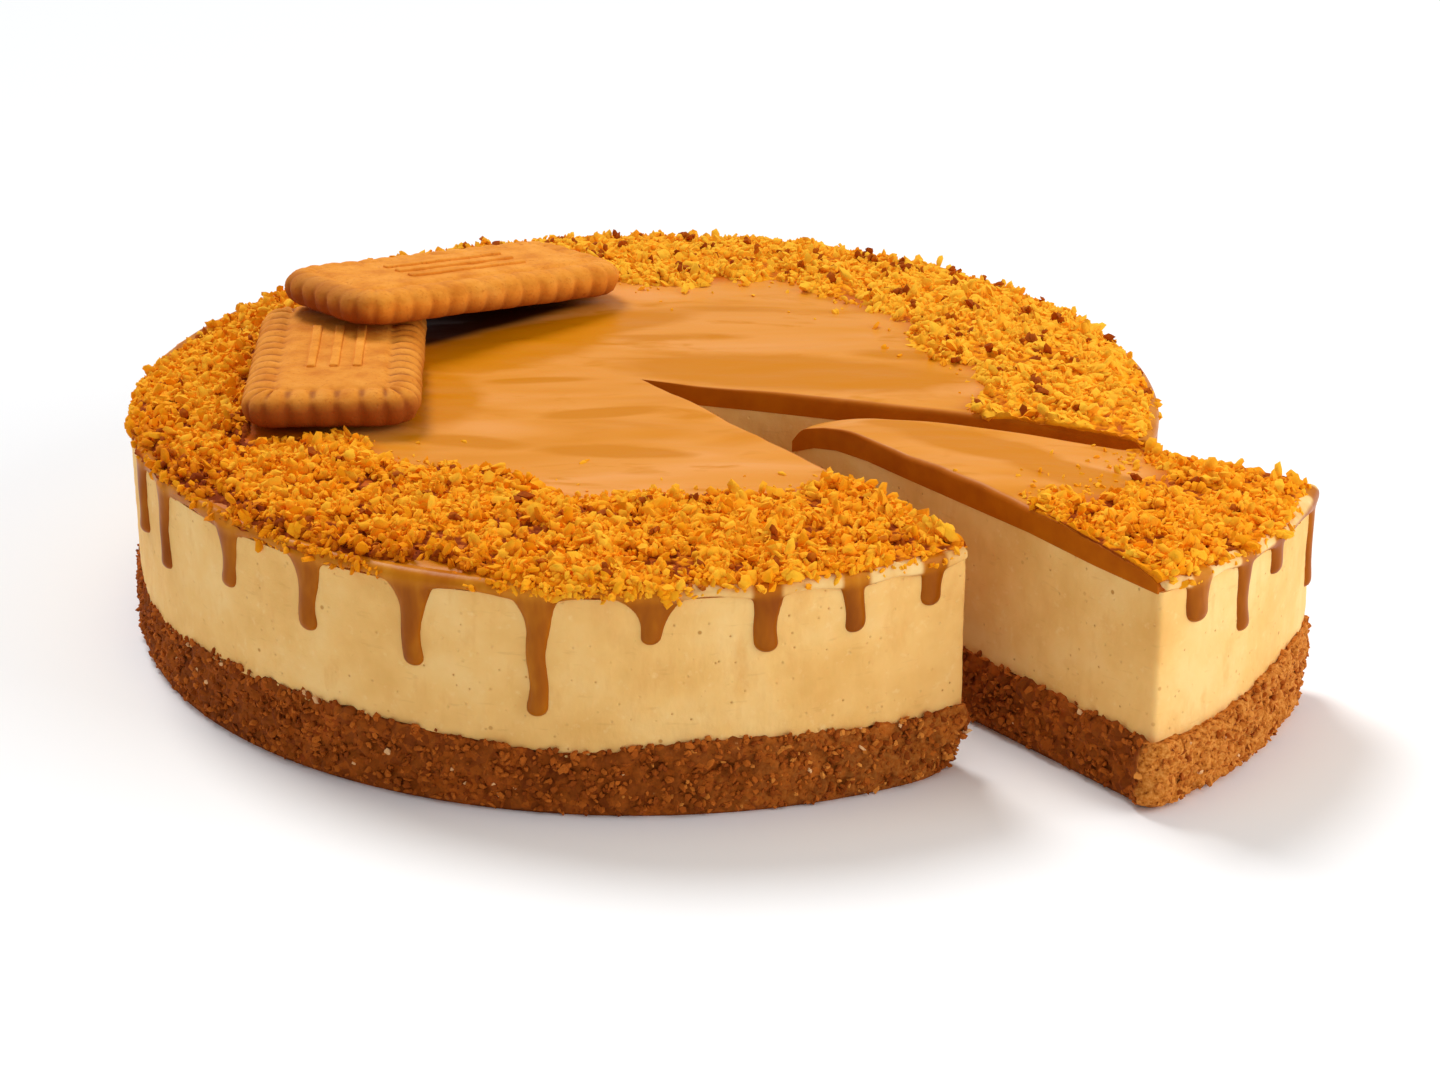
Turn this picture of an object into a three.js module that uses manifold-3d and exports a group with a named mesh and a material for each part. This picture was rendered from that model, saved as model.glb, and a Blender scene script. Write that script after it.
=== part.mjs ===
// A round biscuit cheesecake with one slice partly drawn out: pressed crumb crust, set filling, a layer of
// caramelised spread that runs down the side in drips, a band of crumbs round the top, and two biscuits.
import * as THREE from "three";
import { mergeVertices } from "three/addons/utils/BufferGeometryUtils.js";
import Module from "manifold-3d";

const wasm = await Module();
wasm.setup();

// Driving dimensions, in millimetres and degrees
const cakeRadius = 90;
const crustReach = 1.1;
const crustHeight = 12.4;
const fillingTopAtRim = 37;
const fillingDome = 0.9;
const caramelTopAtCentre = 41.4;
const caramelFall = 2.6;
const fitGap = 0.3;
const lipReach = 1;
const lipFoot = 36.5;
const lipWave = 0.45;

const notchApex = [-0.8, -0.9];
const notchFrom = -53.4;
const notchTo = -16.5;
const sliceApex = [26.1, -16.6];
const sliceFrom = -52;
const sliceTo = -15.6;
const sliceBulge = 1.1;
const sliceFall = 2.2;
const tipDroop = 4.2;
const tipDroopLength = 16;
const crustPastCut = 0.9;

const biscuitLength = 62;
const biscuitWidth = 30;
const biscuitThickness = 6.3;
const biscuitCorner = 8;
const scallopDepth = 0.4;
const barSize = [26, 1.6, 1.2];
const barSpacing = 4;
const barProud = 0.4;
const frontBiscuit = { centre: [-54, 2.5, 40.7], yaw: 93.5, pitch: 3.4, roll: 0 };
const backBiscuit = { centre: [-36, 34.5, 44.85], yaw: 39.5, pitch: 5.6, roll: -3 };

const crumbBandEdge = 57;
const crumbRadius = [1.4, 2.3];
const crumbStretch = [1, 1.3];
const crumbUneven = [0.8, 1.2];
const crumbReach = crumbStretch[1] * crumbUneven[1];
const crumbSpacing = 9.7;
const sliceCrumbSpacing = 7.4;
const crumbTries = 2600;
const dripWidth = 3.9;
const dripDepthRatio = 0.8;

// How finely the round pieces are divided
const turnSteps = 60;
const dripSides = 6;
const layerRings = [0, 45, 80];
const topRings = [82, 75, 68, 61, 54, 30, 0];
const tipRings = [5, 10, 16, 30, 45];
const wedgeReach = 130;

// The drips in view by the angle round the cake where each hangs, its lowest point and its width
const mainDrips = [
  { angle: -159.5, foot: 24.4 },
  { angle: -151.4, foot: 22.6 },
  { angle: -137.1, foot: 26.8 },
  { angle: -125.3, foot: 24.6 },
  { angle: -112.7, foot: 22.8, funnel: 2 },
  { angle: -99.5, foot: 16.6, funnel: 2.4 },
  { angle: -88.1, foot: 30.4, width: 5, funnel: 2.6 },
  { angle: -76.7, foot: 27.1, width: 4.2 },
  { angle: -67.5, foot: 28.5 },
  { angle: -58.6, foot: 30.4, funnel: 2 },
];
const sliceDrips = [
  { angle: -46.5, foot: 29.8, width: 4.8 },
  { angle: -38.5, foot: 24.1 },
  { angle: -31.3, foot: 30.2 },
  { angle: -18.2, foot: 20, width: 3.4 },
];
// The drips on the far side go on at an even pace with uneven lengths
const farDripFrom = -8;
const farDripTo = 180;
const farDripCount = 16;
const farDripFoot = [19, 30];

const radians = (degrees) => (degrees * Math.PI) / 180;

function seededRandom(seed) {
  let state = seed;
  return () => {
    state = (state * 1664525 + 1013904223) % 4294967296;
    return state / 4294967296;
  };
}

function between(random, [low, high]) {
  return low + (high - low) * random();
}

function smoothStep(low, high, value) {
  return THREE.MathUtils.smoothstep(value, low, high);
}

// A closed solid from a geometry whose faces meet at shared corners
function solid(geometry) {
  const bare = geometry.clone();
  bare.deleteAttribute("normal");
  bare.deleteAttribute("uv");
  const welded = mergeVertices(bare, 1e-4);
  const corners = welded.index.array;
  const faces = [];
  for (let i = 0; i < corners.length; i += 3) {
    const [a, b, c] = [corners[i], corners[i + 1], corners[i + 2]];
    if (a !== b && b !== c && c !== a) {
      faces.push(a, b, c);
    }
  }
  const vertProperties = Float32Array.from(welded.attributes.position.array);
  const triVerts = Uint32Array.from(faces);
  return new wasm.Manifold(new wasm.Mesh({ numProp: 3, vertProperties, triVerts }));
}

function mesh(name, body, material) {
  const { vertProperties, triVerts } = body.getMesh();
  const geometry = new THREE.BufferGeometry();
  geometry.setAttribute("position", new THREE.BufferAttribute(vertProperties, 3));
  geometry.setIndex(new THREE.BufferAttribute(triVerts, 1));
  geometry.computeVertexNormals();
  const result = new THREE.Mesh(geometry, material);
  result.name = name;
  return result;
}

// A turned layer, whose every corner is then moved by a function of its radius, angle and row
function turnedLayer(profile, place) {
  const points = profile.map(([radius, height]) => new THREE.Vector2(radius, height));
  const geometry = new THREE.LatheGeometry(points, turnSteps);
  geometry.rotateX(Math.PI / 2);
  const position = geometry.attributes.position;
  for (let i = 0; i < position.count; i += 1) {
    const row = i % points.length;
    const angle = Math.atan2(position.getY(i), position.getX(i));
    const [radius, height] = place(points[row].x, points[row].y, angle, row);
    position.setXYZ(i, radius * Math.cos(angle), radius * Math.sin(angle), height);
  }
  return solid(geometry);
}

// The wedge between two upright cuts, its sides moved out by grow and rippled, its tip blunt
function wedge(apex, from, to, grow, ripple) {
  const half = radians(to - from) / 2;
  const middle = radians((from + to) / 2);
  const shape = new THREE.Shape();
  const tipX = apex[0] - (Math.cos(middle) * grow) / Math.sin(half);
  const tipY = apex[1] - (Math.sin(middle) * grow) / Math.sin(half);
  const steps = 16;
  const side = (direction, out, step) => {
    const along = 1.5 + ((wedgeReach - 1.5) * step) / steps;
    const wave = ripple * (Math.sin(along * 0.31 + out) + 0.7 * Math.sin(along * 0.9 + 2 * out));
    const away = direction + (out * Math.PI) / 2;
    const x = tipX + along * Math.cos(direction) + wave * Math.cos(away);
    const y = tipY + along * Math.sin(direction) + wave * Math.sin(away);
    return [x, y];
  };
  const lower = radians(from);
  const upper = radians(to);
  shape.moveTo(...side(lower, -1, 0));
  for (let step = ripple > 0 ? 1 : steps; step <= steps; step += 1) {
    shape.lineTo(...side(lower, -1, step));
  }
  for (let step = steps; step >= 0; step -= ripple > 0 ? 1 : steps) {
    shape.lineTo(...side(upper, 1, step));
  }
  const geometry = new THREE.ExtrudeGeometry(shape, { depth: 60, bevelEnabled: false });
  geometry.translate(0, 0, -5);
  return solid(geometry);
}

// The border between crust and filling rises and falls round the side
function crustTop(radius, angle) {
  const turn = angle - radians(-77);
  const wave = 0.9 * Math.cos(7 * turn) + 0.5 * Math.cos(3 * angle + 1.1) + 0.3 * Math.cos(13 * angle);
  return crustHeight + wave * (radius / cakeRadius) ** 3;
}

function droop(radius, isSlice) {
  return isSlice ? tipDroop * Math.max(0, 1 - radius / tipDroopLength) ** 2 : 0;
}

// The slice has settled towards its far cut: the fall there, from nothing at its near cut
function settling(radius, angle, isSlice) {
  const across = smoothStep(radians(sliceFrom), radians(sliceTo), angle);
  return isSlice ? sliceFall * across * smoothStep(20, 62, radius) : 0;
}

function fillingTop(radius, angle, isSlice) {
  const dome = fillingDome * (1 - (radius / cakeRadius) ** 2);
  const bulge = isSlice ? 0.4 * sliceBulge * Math.exp(-(((radius - 50) / 24) ** 2)) : 0;
  const sunk = droop(radius, isSlice) + 0.85 * settling(radius, angle, isSlice);
  return fillingTopAtRim + dome + bulge - sunk;
}

function caramelTop(radius, angle, isSlice) {
  const bulge = isSlice ? sliceBulge * Math.exp(-(((radius - 50) / 24) ** 2)) : 0;
  const sunk = droop(radius, isSlice) + settling(radius, angle, isSlice);
  return caramelTopAtCentre - caramelFall * (radius / cakeRadius) ** 4 + bulge - sunk;
}

// The crumbs too small to be pieces of their own are bumps of their size
function crumbRelief(radius, angle) {
  const edge = crumbBandEdge + 3 * Math.cos(5 * angle + 1) + 2 * Math.cos(11 * angle);
  const cover = smoothStep(edge - 3, edge + 4, radius) * (1 - 0.7 * smoothStep(85, 90, radius));
  const bump = Math.sin(23 * angle + 1.7 * radius) * Math.cos(31 * angle - 0.9 * radius + 2);
  return cover * (1.2 + 0.8 * bump);
}

function crustLayer() {
  const profile = [[0, 0], [cakeRadius - 1.2, 0], [cakeRadius, 1.2], [cakeRadius, 4.6], [cakeRadius, 8.4]];
  profile.push([cakeRadius + 0.1, crustHeight - 0.8]);
  profile.push([cakeRadius, crustHeight]);
  profile.push(...layerRings.toReversed().map((radius) => [radius, crustHeight]));
  return turnedLayer(profile, (radius, height, angle, row) => {
    const crag = 0.45 * Math.sin(29 * angle + 2.3 * row) + 0.35 * Math.sin(17 * angle - 1.9 * row);
    if (row === 0) {
      return [0, 0];
    }
    if (row <= 5) {
      const lift = row === 5 ? crustTop(cakeRadius, angle) - crustHeight : 0;
      return [radius + crustReach * Math.min(1, row / 2) + crag, height + lift];
    }
    return [radius, crustTop(radius, angle)];
  });
}

function fillingLayer(isSlice) {
  const inner = isSlice ? [0, ...tipRings, 80] : layerRings;
  const profile = layerRings.map((radius) => [radius, 0]);
  profile.push([cakeRadius, 0], [cakeRadius, 1]);
  profile.push(...inner.toReversed().map((radius) => [radius, 1]));
  return turnedLayer(profile, (radius, level, angle) => {
    const height = level === 0 ? crustTop(radius, angle) + fitGap : fillingTop(radius, angle, isSlice);
    return [radius, height];
  });
}

// The spread covers the filling, and its lip hangs a little over the edge of it
function caramelLayer(isSlice) {
  const inner = isSlice ? [0, ...tipRings, 80] : layerRings;
  const inside = cakeRadius + fitGap + 0.05;
  const profile = inner.map((radius) => [radius, 0]);
  profile.push([inside, 0], [inside, 1], [cakeRadius + lipReach, 2], [cakeRadius + lipReach, 3]);
  profile.push([cakeRadius - 1.5, 4]);
  const outer = isSlice ? [82, 75, 68, 61, 54, ...tipRings.toReversed(), 0] : topRings;
  profile.push(...outer.map((radius) => [radius, 5]));
  return turnedLayer(profile, (radius, level, angle) => {
    const sunk = settling(radius, angle, isSlice);
    const wave = 0.65 * Math.cos(9 * angle + 0.6) + 0.35 * Math.cos(17 * angle + 2);
    const lip = lipFoot + lipWave * wave - 0.85 * sunk;
    const under = fillingTop(Math.min(radius, cakeRadius), angle, isSlice) + fitGap;
    const levels = [under, lip, lip + 0.3, 38.1 - 0.9 * sunk, 39 - sunk];
    if (level === 5) {
      return [radius, caramelTop(radius, angle, isSlice) + crumbRelief(radius, angle)];
    }
    const height = levels[level] + (level === 4 ? crumbRelief(radius, angle) : 0);
    const reach = level === 3 ? radius - 0.25 + 0.2 * Math.cos(14 * angle) : radius;
    return [reach, height];
  });
}

// One run of spread down the side: a funnel at the lip, a slim neck and a rounded foot
function drip({ angle, foot, width = dripWidth, funnel = 1.5 }) {
  const half = width / 2;
  const head = 38;
  const neck = foot + (head - foot) * 0.72;
  const profile = [[0, foot], [half * 0.95, foot + half * 0.75], [half, foot + half * 1.6]];
  profile.push([half * 0.85, neck], [half * funnel, head - 1], [0, head]);
  const points = profile.map(([radius, height]) => new THREE.Vector2(radius, height));
  const geometry = new THREE.LatheGeometry(points, dripSides);
  geometry.rotateX(Math.PI / 2);
  // The back is flat, where the drip lies against the side
  const position = geometry.attributes.position;
  for (let i = 0; i < position.count; i += 1) {
    position.setX(i, Math.max(0, position.getX(i)) * dripDepthRatio);
  }
  geometry.translate(cakeRadius + fitGap + 0.1, 0, 0);
  geometry.rotateZ(radians(angle));
  return solid(geometry);
}

// One crumb: a faceted lump with every corner pushed in or out by chance
function crumb(random, radius) {
  const ball = new THREE.IcosahedronGeometry(1, 0);
  ball.deleteAttribute("normal");
  ball.deleteAttribute("uv");
  const lump = mergeVertices(ball, 1e-4);
  const position = lump.attributes.position;
  for (let i = 0; i < position.count; i += 1) {
    const push = radius * between(random, crumbUneven);
    position.setXYZ(i, position.getX(i) * push, position.getY(i) * push, position.getZ(i) * push);
  }
  lump.scale(between(random, crumbStretch), between(random, [0.8, 1]), between(random, [0.65, 0.85]));
  lump.rotateX(between(random, [-0.5, 0.5]));
  lump.rotateZ(between(random, [0, 2 * Math.PI]));
  return lump;
}

// Crumbs are drawn at chance places, and one is kept only where it has room
function crumbs(layer, seed, spacing, allowed) {
  const random = seededRandom(seed);
  const surface = mesh("surface", layer, new THREE.MeshBasicMaterial());
  const down = new THREE.Vector3(0, 0, -1);
  const kept = [];
  const lumps = [];
  for (let i = 0; i < crumbTries; i += 1) {
    const radius = Math.sqrt(between(random, [(crumbBandEdge - 5) ** 2, (cakeRadius - 1.6) ** 2]));
    const angle = between(random, [-Math.PI, Math.PI]);
    const x = radius * Math.cos(angle);
    const y = radius * Math.sin(angle);
    const size = between(random, crumbRadius);
    const hasRoom = kept.every((other) => Math.hypot(other.x - x, other.y - y) > spacing);
    if (!hasRoom || !allowed(x, y, crumbReach * size)) {
      continue;
    }
    kept.push({ x, y });
    const caster = new THREE.Raycaster(new THREE.Vector3(x, y, 2 * caramelTopAtCentre), down);
    const top = caster.intersectObject(surface)[0].point.z;
    const lump = crumb(random, size);
    lump.translate(x, y, top + 0.2 * size);
    lumps.push(solid(lump));
  }
  return lumps;
}

// The biscuit's rounded outline at a distance inside its edge, its points alternately out and in
function biscuitOutline(inset, scallop) {
  const corner = Math.max(biscuitCorner - inset, 0.6);
  const across = biscuitLength / 2 - inset - corner;
  const along = biscuitWidth / 2 - inset - corner;
  const points = [];
  for (let quarter = 0; quarter < 4; quarter += 1) {
    const signX = quarter === 0 || quarter === 3 ? 1 : -1;
    const signY = quarter < 2 ? 1 : -1;
    const cornerSteps = 8;
    const sideSteps = quarter % 2 === 0 ? 28 : 8;
    const start = (quarter * Math.PI) / 2;
    for (let step = 0; step < cornerSteps; step += 1) {
      const turn = start + (step / cornerSteps) * (Math.PI / 2);
      points.push({ x: signX * across, y: signY * along, turn, reach: corner });
    }
    const end = start + Math.PI / 2;
    const nextX = quarter % 2 === 0 ? -signX * across : signX * across;
    const nextY = quarter % 2 === 0 ? signY * along : -signY * along;
    for (let step = 0; step < sideSteps; step += 1) {
      const share = step / sideSteps;
      const x = signX * across + (nextX - signX * across) * share;
      const y = signY * along + (nextY - signY * along) * share;
      points.push({ x, y, turn: end, reach: corner });
    }
  }
  return points.map(({ x, y, turn, reach }, index) => {
    const out = reach + (index % 2 === 0 ? scallop : -scallop);
    return [x + out * Math.cos(turn), y + out * Math.sin(turn)];
  });
}

// A biscuit with a scalloped edge, a ridged border and a raised panel
function biscuitGeometry() {
  const rows = [
    { inset: 0.5, height: 0, scallop: scallopDepth, ridge: 0 },
    { inset: 0, height: 4.9, scallop: scallopDepth, ridge: 0 },
    { inset: 1.1, height: 5.9, scallop: scallopDepth, ridge: 0.2 },
    { inset: 4.6, height: 5.5, scallop: 0, ridge: 0.12 },
    { inset: 5.3, height: biscuitThickness, scallop: 0, ridge: 0 },
  ];
  const outlines = rows.map(({ inset, scallop }) => biscuitOutline(inset, scallop));
  const columns = outlines[0].length;
  const profile = [new THREE.Vector2(0, 0)];
  profile.push(...rows.map(({ height }) => new THREE.Vector2(1, height)));
  profile.push(new THREE.Vector2(0, biscuitThickness));
  const geometry = new THREE.LatheGeometry(profile, columns);
  const position = geometry.attributes.position;
  for (let i = 0; i < position.count; i += 1) {
    const row = i % profile.length;
    const column = Math.floor(i / profile.length) % columns;
    if (row === 0) {
      position.setXYZ(i, 0, 0, 0);
    } else if (row > rows.length) {
      position.setXYZ(i, 0, 0, biscuitThickness);
    } else {
      const { height, ridge } = rows[row - 1];
      const [x, y] = outlines[row - 1][column];
      position.setXYZ(i, x, y, height + (column % 2 === 0 ? ridge : -ridge));
    }
  }
  return geometry;
}

function placement({ centre, yaw, pitch, roll }) {
  const turn = new THREE.Euler(radians(roll), radians(pitch), radians(yaw), "ZYX");
  const matrix = new THREE.Matrix4().makeRotationFromEuler(turn);
  return matrix.setPosition(...centre);
}

// Three plain raised bars lie along the middle of the panel
function biscuit(name, place) {
  let body = solid(biscuitGeometry());
  for (const offset of [-barSpacing, 0, barSpacing]) {
    const bar = new THREE.BoxGeometry(...barSize);
    bar.translate(0, offset, biscuitThickness + barProud - barSize[2] / 2);
    body = body.add(solid(bar));
  }
  const result = mesh(name, body, biscuitFinish);
  result.applyMatrix4(placement(place));
  return result;
}

// The room that a biscuit takes where it is pressed into the spread
function biscuitRoom(place) {
  const clear = scallopDepth + fitGap;
  const farX = biscuitLength / 2 + clear - biscuitCorner;
  const farY = biscuitWidth / 2 + clear - biscuitCorner;
  const shape = new THREE.Shape();
  shape.absarc(farX, farY, biscuitCorner, 0, Math.PI / 2);
  shape.absarc(-farX, farY, biscuitCorner, Math.PI / 2, Math.PI);
  shape.absarc(-farX, -farY, biscuitCorner, Math.PI, 1.5 * Math.PI);
  shape.absarc(farX, -farY, biscuitCorner, 1.5 * Math.PI, 2 * Math.PI);
  const depth = biscuitThickness + 2 * fitGap;
  const geometry = new THREE.ExtrudeGeometry(shape, { depth, bevelEnabled: false, curveSegments: 3 });
  geometry.translate(0, 0, -fitGap);
  geometry.applyMatrix4(placement(place));
  return solid(geometry);
}

// True where a piece of the given reach is clear of a biscuit's footprint
function clearOf({ centre, yaw }, x, y, reach) {
  const turn = radians(-yaw);
  const dx = x - centre[0];
  const dy = y - centre[1];
  const along = Math.abs(dx * Math.cos(turn) - dy * Math.sin(turn));
  const across = Math.abs(dx * Math.sin(turn) + dy * Math.cos(turn));
  return along > biscuitLength / 2 + reach || across > biscuitWidth / 2 + reach;
}

// How far a point lies outside or, below zero, inside the wedge between two cuts
function pastCuts(apex, from, to, x, y) {
  const dx = x - apex[0];
  const dy = y - apex[1];
  const below = dx * Math.sin(radians(from)) - dy * Math.cos(radians(from));
  const above = -dx * Math.sin(radians(to)) + dy * Math.cos(radians(to));
  return Math.max(below, above);
}

function inMain(x, y, reach) {
  const clear = clearOf(frontBiscuit, x, y, reach) && clearOf(backBiscuit, x, y, reach);
  return clear && pastCuts(notchApex, notchFrom, notchTo, x, y) > reach;
}

function inSlice(x, y, reach) {
  return pastCuts([0, 0], sliceFrom, sliceTo, x, y) < -reach;
}

function farDrips() {
  const random = seededRandom(11);
  const drips = [];
  for (let i = 0; i < farDripCount; i += 1) {
    const share = (i + between(random, [-0.25, 0.25])) / (farDripCount - 1);
    const angle = farDripFrom + (farDripTo - farDripFrom) * share;
    drips.push({ angle, foot: between(random, farDripFoot), width: between(random, [3.4, 4.4]) });
  }
  return drips;
}

function joined(body, additions) {
  return additions.reduce((sum, addition) => sum.add(addition), body);
}

// Drips and crumbs stay clear of the cuts, so they are joined to the layer after it is cut
function toppedCaramel(layer, drips, seed, spacing, allowed) {
  const runs = joined(layer, drips.map(drip));
  return joined(runs, crumbs(layer, seed, spacing, allowed));
}

const food = (color, roughness) => new THREE.MeshStandardMaterial({ color, roughness, metalness: 0 });
const crustFinish = food("#8f5a2a", 0.95);
const fillingFinish = food("#e8bf86", 0.65);
const caramelFinish = food("#e29327", 0.45);
const biscuitFinish = food("#e0954a", 0.8);

const softNotch = wedge(notchApex, notchFrom, notchTo, 0, 0);
const crustNotch = wedge(notchApex, notchFrom, notchTo, -crustPastCut, 0.35);
const softWedge = wedge([0, 0], sliceFrom, sliceTo, 0, 0);
const crustWedge = wedge([0, 0], sliceFrom, sliceTo, crustPastCut, 0.35);

const mainLayer = caramelLayer(false)
  .subtract(softNotch)
  .subtract(biscuitRoom(frontBiscuit))
  .subtract(biscuitRoom(backBiscuit));
const mainCaramel = toppedCaramel(mainLayer, [...mainDrips, ...farDrips()], 5, crumbSpacing, inMain);
const sliceLayer = caramelLayer(true).intersect(softWedge);
const sliceCaramel = toppedCaramel(sliceLayer, sliceDrips, 9, sliceCrumbSpacing, inSlice);

const slice = new THREE.Group();
slice.add(mesh("slice_crust", crustLayer().intersect(crustWedge), crustFinish));
slice.add(mesh("slice_filling", fillingLayer(true).intersect(softWedge), fillingFinish));
slice.add(mesh("slice_caramel", sliceCaramel, caramelFinish));
slice.position.set(...sliceApex, 0);

const cake = new THREE.Group();
cake.add(mesh("crust", crustLayer().subtract(crustNotch), crustFinish));
cake.add(mesh("filling", fillingLayer(false).subtract(softNotch), fillingFinish));
cake.add(mesh("caramel", mainCaramel, caramelFinish));
cake.add(biscuit("biscuit_front", frontBiscuit));
cake.add(biscuit("biscuit_back", backBiscuit));
cake.add(slice);

// The origin is under the middle of the whole, on the surface that it stands on
const bounds = new THREE.Box3().setFromObject(cake, true);
cake.position.x = -(bounds.min.x + bounds.max.x) / 2;
cake.position.y = -(bounds.min.y + bounds.max.y) / 2;

const cheesecake = new THREE.Group();
cheesecake.add(cake);

export default cheesecake;
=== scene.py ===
import math

import bpy
import numpy as np
from mathutils import Euler, Matrix, Vector, noise


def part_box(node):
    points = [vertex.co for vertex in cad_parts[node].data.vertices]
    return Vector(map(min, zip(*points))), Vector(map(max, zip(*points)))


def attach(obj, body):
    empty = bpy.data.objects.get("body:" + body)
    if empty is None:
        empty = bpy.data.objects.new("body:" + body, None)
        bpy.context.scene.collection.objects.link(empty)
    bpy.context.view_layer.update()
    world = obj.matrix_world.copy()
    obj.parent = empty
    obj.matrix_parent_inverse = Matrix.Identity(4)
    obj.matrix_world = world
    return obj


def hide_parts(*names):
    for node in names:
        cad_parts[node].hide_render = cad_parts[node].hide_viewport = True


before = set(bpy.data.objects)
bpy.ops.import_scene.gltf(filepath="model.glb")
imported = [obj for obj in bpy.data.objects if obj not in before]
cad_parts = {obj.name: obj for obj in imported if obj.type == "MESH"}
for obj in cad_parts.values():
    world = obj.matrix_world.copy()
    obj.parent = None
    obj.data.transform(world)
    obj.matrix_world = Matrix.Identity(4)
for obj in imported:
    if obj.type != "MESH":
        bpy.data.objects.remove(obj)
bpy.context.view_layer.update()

# All sizes below are in millimetres and degrees; metres are made where a mesh is placed
cake = {
    "radius": 90,
    "crustHeight": 12.4,
    "fillingTop": 37,
    "fillingDome": 0.9,
    "caramelTop": 41.4,
    "caramelFall": 2.6,
    "sliceBulge": 1.1,
    "sliceFall": 2.2,
    # How far the filling, the lip and the drips sink with the slice's spread
    "fillingSinks": 0.85,
    "tipDroop": 4.2,
    "tipDroopLength": 16,
    "crumbBandEdge": 57,
    # The band of crumbs starts further out on the slice and beside its cut: degrees and millimetres
    "bandShift": ((-70, -60, -53.5, -52, -34, -17, -15.8), (0, 2, 5, 8.5, 7.5, 6.5, 0)),
}
fillingLow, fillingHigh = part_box("filling")
cakeCentre = (fillingLow.x * 1000 + cake["radius"], fillingHigh.y * 1000 - cake["radius"])

# The two parts that the cut makes, each with its own axis, the point of its cut and its two cut faces
mainPart = {"name": "main", "slice": False, "from": -16.5, "to": 306.6, "shift": (0, 0)}
slicePart = {"name": "slice", "slice": True, "from": -52, "to": -15.6, "shift": (26.1, -16.6)}
mainPart["apex"] = np.array((-0.8, -0.9))
slicePart["apex"] = np.array((0.0, 0.0))

camera = {"target": (13.5, 0, 10.17), "elevation": 22.25, "distance": 620.1, "lens": 85.75, "sensor": 36}


def inFrame(x, y, z):
    return Vector(((cakeCentre[0] + x) / 1000, (cakeCentre[1] + y) / 1000, z / 1000))


def addCamera():
    lift = math.radians(camera["elevation"])
    x, y, z = camera["target"]
    away = camera["distance"]
    place = inFrame(x, y - away * math.cos(lift), z + away * math.sin(lift))
    bpy.ops.object.camera_add(location=place, rotation=(math.pi / 2 - lift, 0, 0))
    bpy.context.object.data.lens = camera["lens"]
    bpy.context.object.data.sensor_width = camera["sensor"]
    bpy.context.scene.camera = bpy.context.object


addCamera()
print("camera placed")


# Small helpers for working on one piece at a time
def pick(piece):
    bpy.ops.object.select_all(action="DESELECT")
    piece.select_set(True)
    bpy.context.view_layer.objects.active = piece


def edit(piece):
    pick(piece)
    bpy.ops.object.mode_set(mode="EDIT")
    bpy.ops.mesh.select_all(action="SELECT")


def done():
    bpy.ops.object.mode_set(mode="OBJECT")


def readPoints(piece):
    points = np.zeros(len(piece.data.vertices) * 3, np.float32)
    piece.data.vertices.foreach_get("co", points)
    return points.reshape(-1, 3).astype(float) * 1000


def writePoints(piece, points):
    piece.data.vertices.foreach_set("co", (points / 1000).astype(np.float32).ravel())
    piece.data.update()


def applyAll(piece):
    pick(piece)
    for modifier in list(piece.modifiers):
        bpy.ops.object.modifier_apply(modifier=modifier.name)


# Every primitive is only the start of a piece
def begin(add, name, **settings):
    bpy.ops.object.select_all(action="DESELECT")
    add(**settings)
    bpy.ops.object.transform_apply(location=True, rotation=True, scale=True)
    bpy.context.object.name = name
    return bpy.context.object


def joinPieces(pieces, name):
    bpy.ops.object.select_all(action="DESELECT")
    for piece in pieces:
        piece.select_set(True)
    bpy.context.view_layer.objects.active = pieces[0]
    bpy.ops.object.join()
    pieces[0].name = name
    return pieces[0]


def shade(piece, angle):
    pick(piece)
    bpy.ops.object.shade_smooth_by_angle(angle=math.radians(angle))


# The piece's mesh is moved from its part's own axis into the frame
def settle(piece, part, slot, finish, *nodes):
    x, y = part["shift"]
    piece.data.transform(Matrix.Translation(inFrame(x, y, 0)))
    piece.data.materials.clear()
    piece.data.materials.append(finish)
    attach(piece, "root")
    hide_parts(*nodes)
    print(piece.name, "has", len(piece.data.polygons), "faces")


def weigh(piece, name, weights):
    group = piece.vertex_groups.new(name=name)
    steps = np.round(np.clip(weights, 0, 1) * 20).astype(int)
    for step in range(1, 21):
        group.add([int(i) for i in np.nonzero(steps == step)[0]], step / 20, "REPLACE")


def addLayer(piece, name, values):
    layer = piece.data.attributes.new(name, "FLOAT", "POINT")
    layer.data.foreach_set("value", np.asarray(values, np.float32))


# Only these points are selected, and the edges and faces that lie wholly between them
def selectPoints(piece, picked):
    mesh = piece.data
    mesh.vertices.foreach_set("select", picked)
    ends = np.zeros(len(mesh.edges) * 2, int)
    mesh.edges.foreach_get("vertices", ends)
    mesh.edges.foreach_set("select", picked[ends.reshape(-1, 2)].all(1))
    mesh.polygons.foreach_set("select", np.zeros(len(mesh.polygons), bool))


# Relief by displace modifiers that are then applied: kind of pattern, its size and its depth
def roughen(piece, reliefs, group=""):
    for kind, size, depth in reliefs:
        texture = bpy.data.textures.new(f"{piece.name}{kind}{size}", kind)
        texture.noise_scale = size / 1000
        modifier = piece.modifiers.new("relief", "DISPLACE")
        modifier.texture = texture
        modifier.texture_coords = "LOCAL"
        modifier.strength = depth / 1000
        modifier.vertex_group = group
        if kind == "VORONOI":
            texture.distance_metric = "DISTANCE"
            modifier.mid_level = 0.4
        else:
            texture.noise_depth = 3
        applyAll(piece)


def waveNoise(points, scales, seed):
    sx, sy, sz = scales
    places = [Vector((x / sx + seed, y / sy - seed, z / sz + 0.37 * seed)) for x, y, z in points]
    return np.array([noise.noise(place) for place in places])


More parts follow.
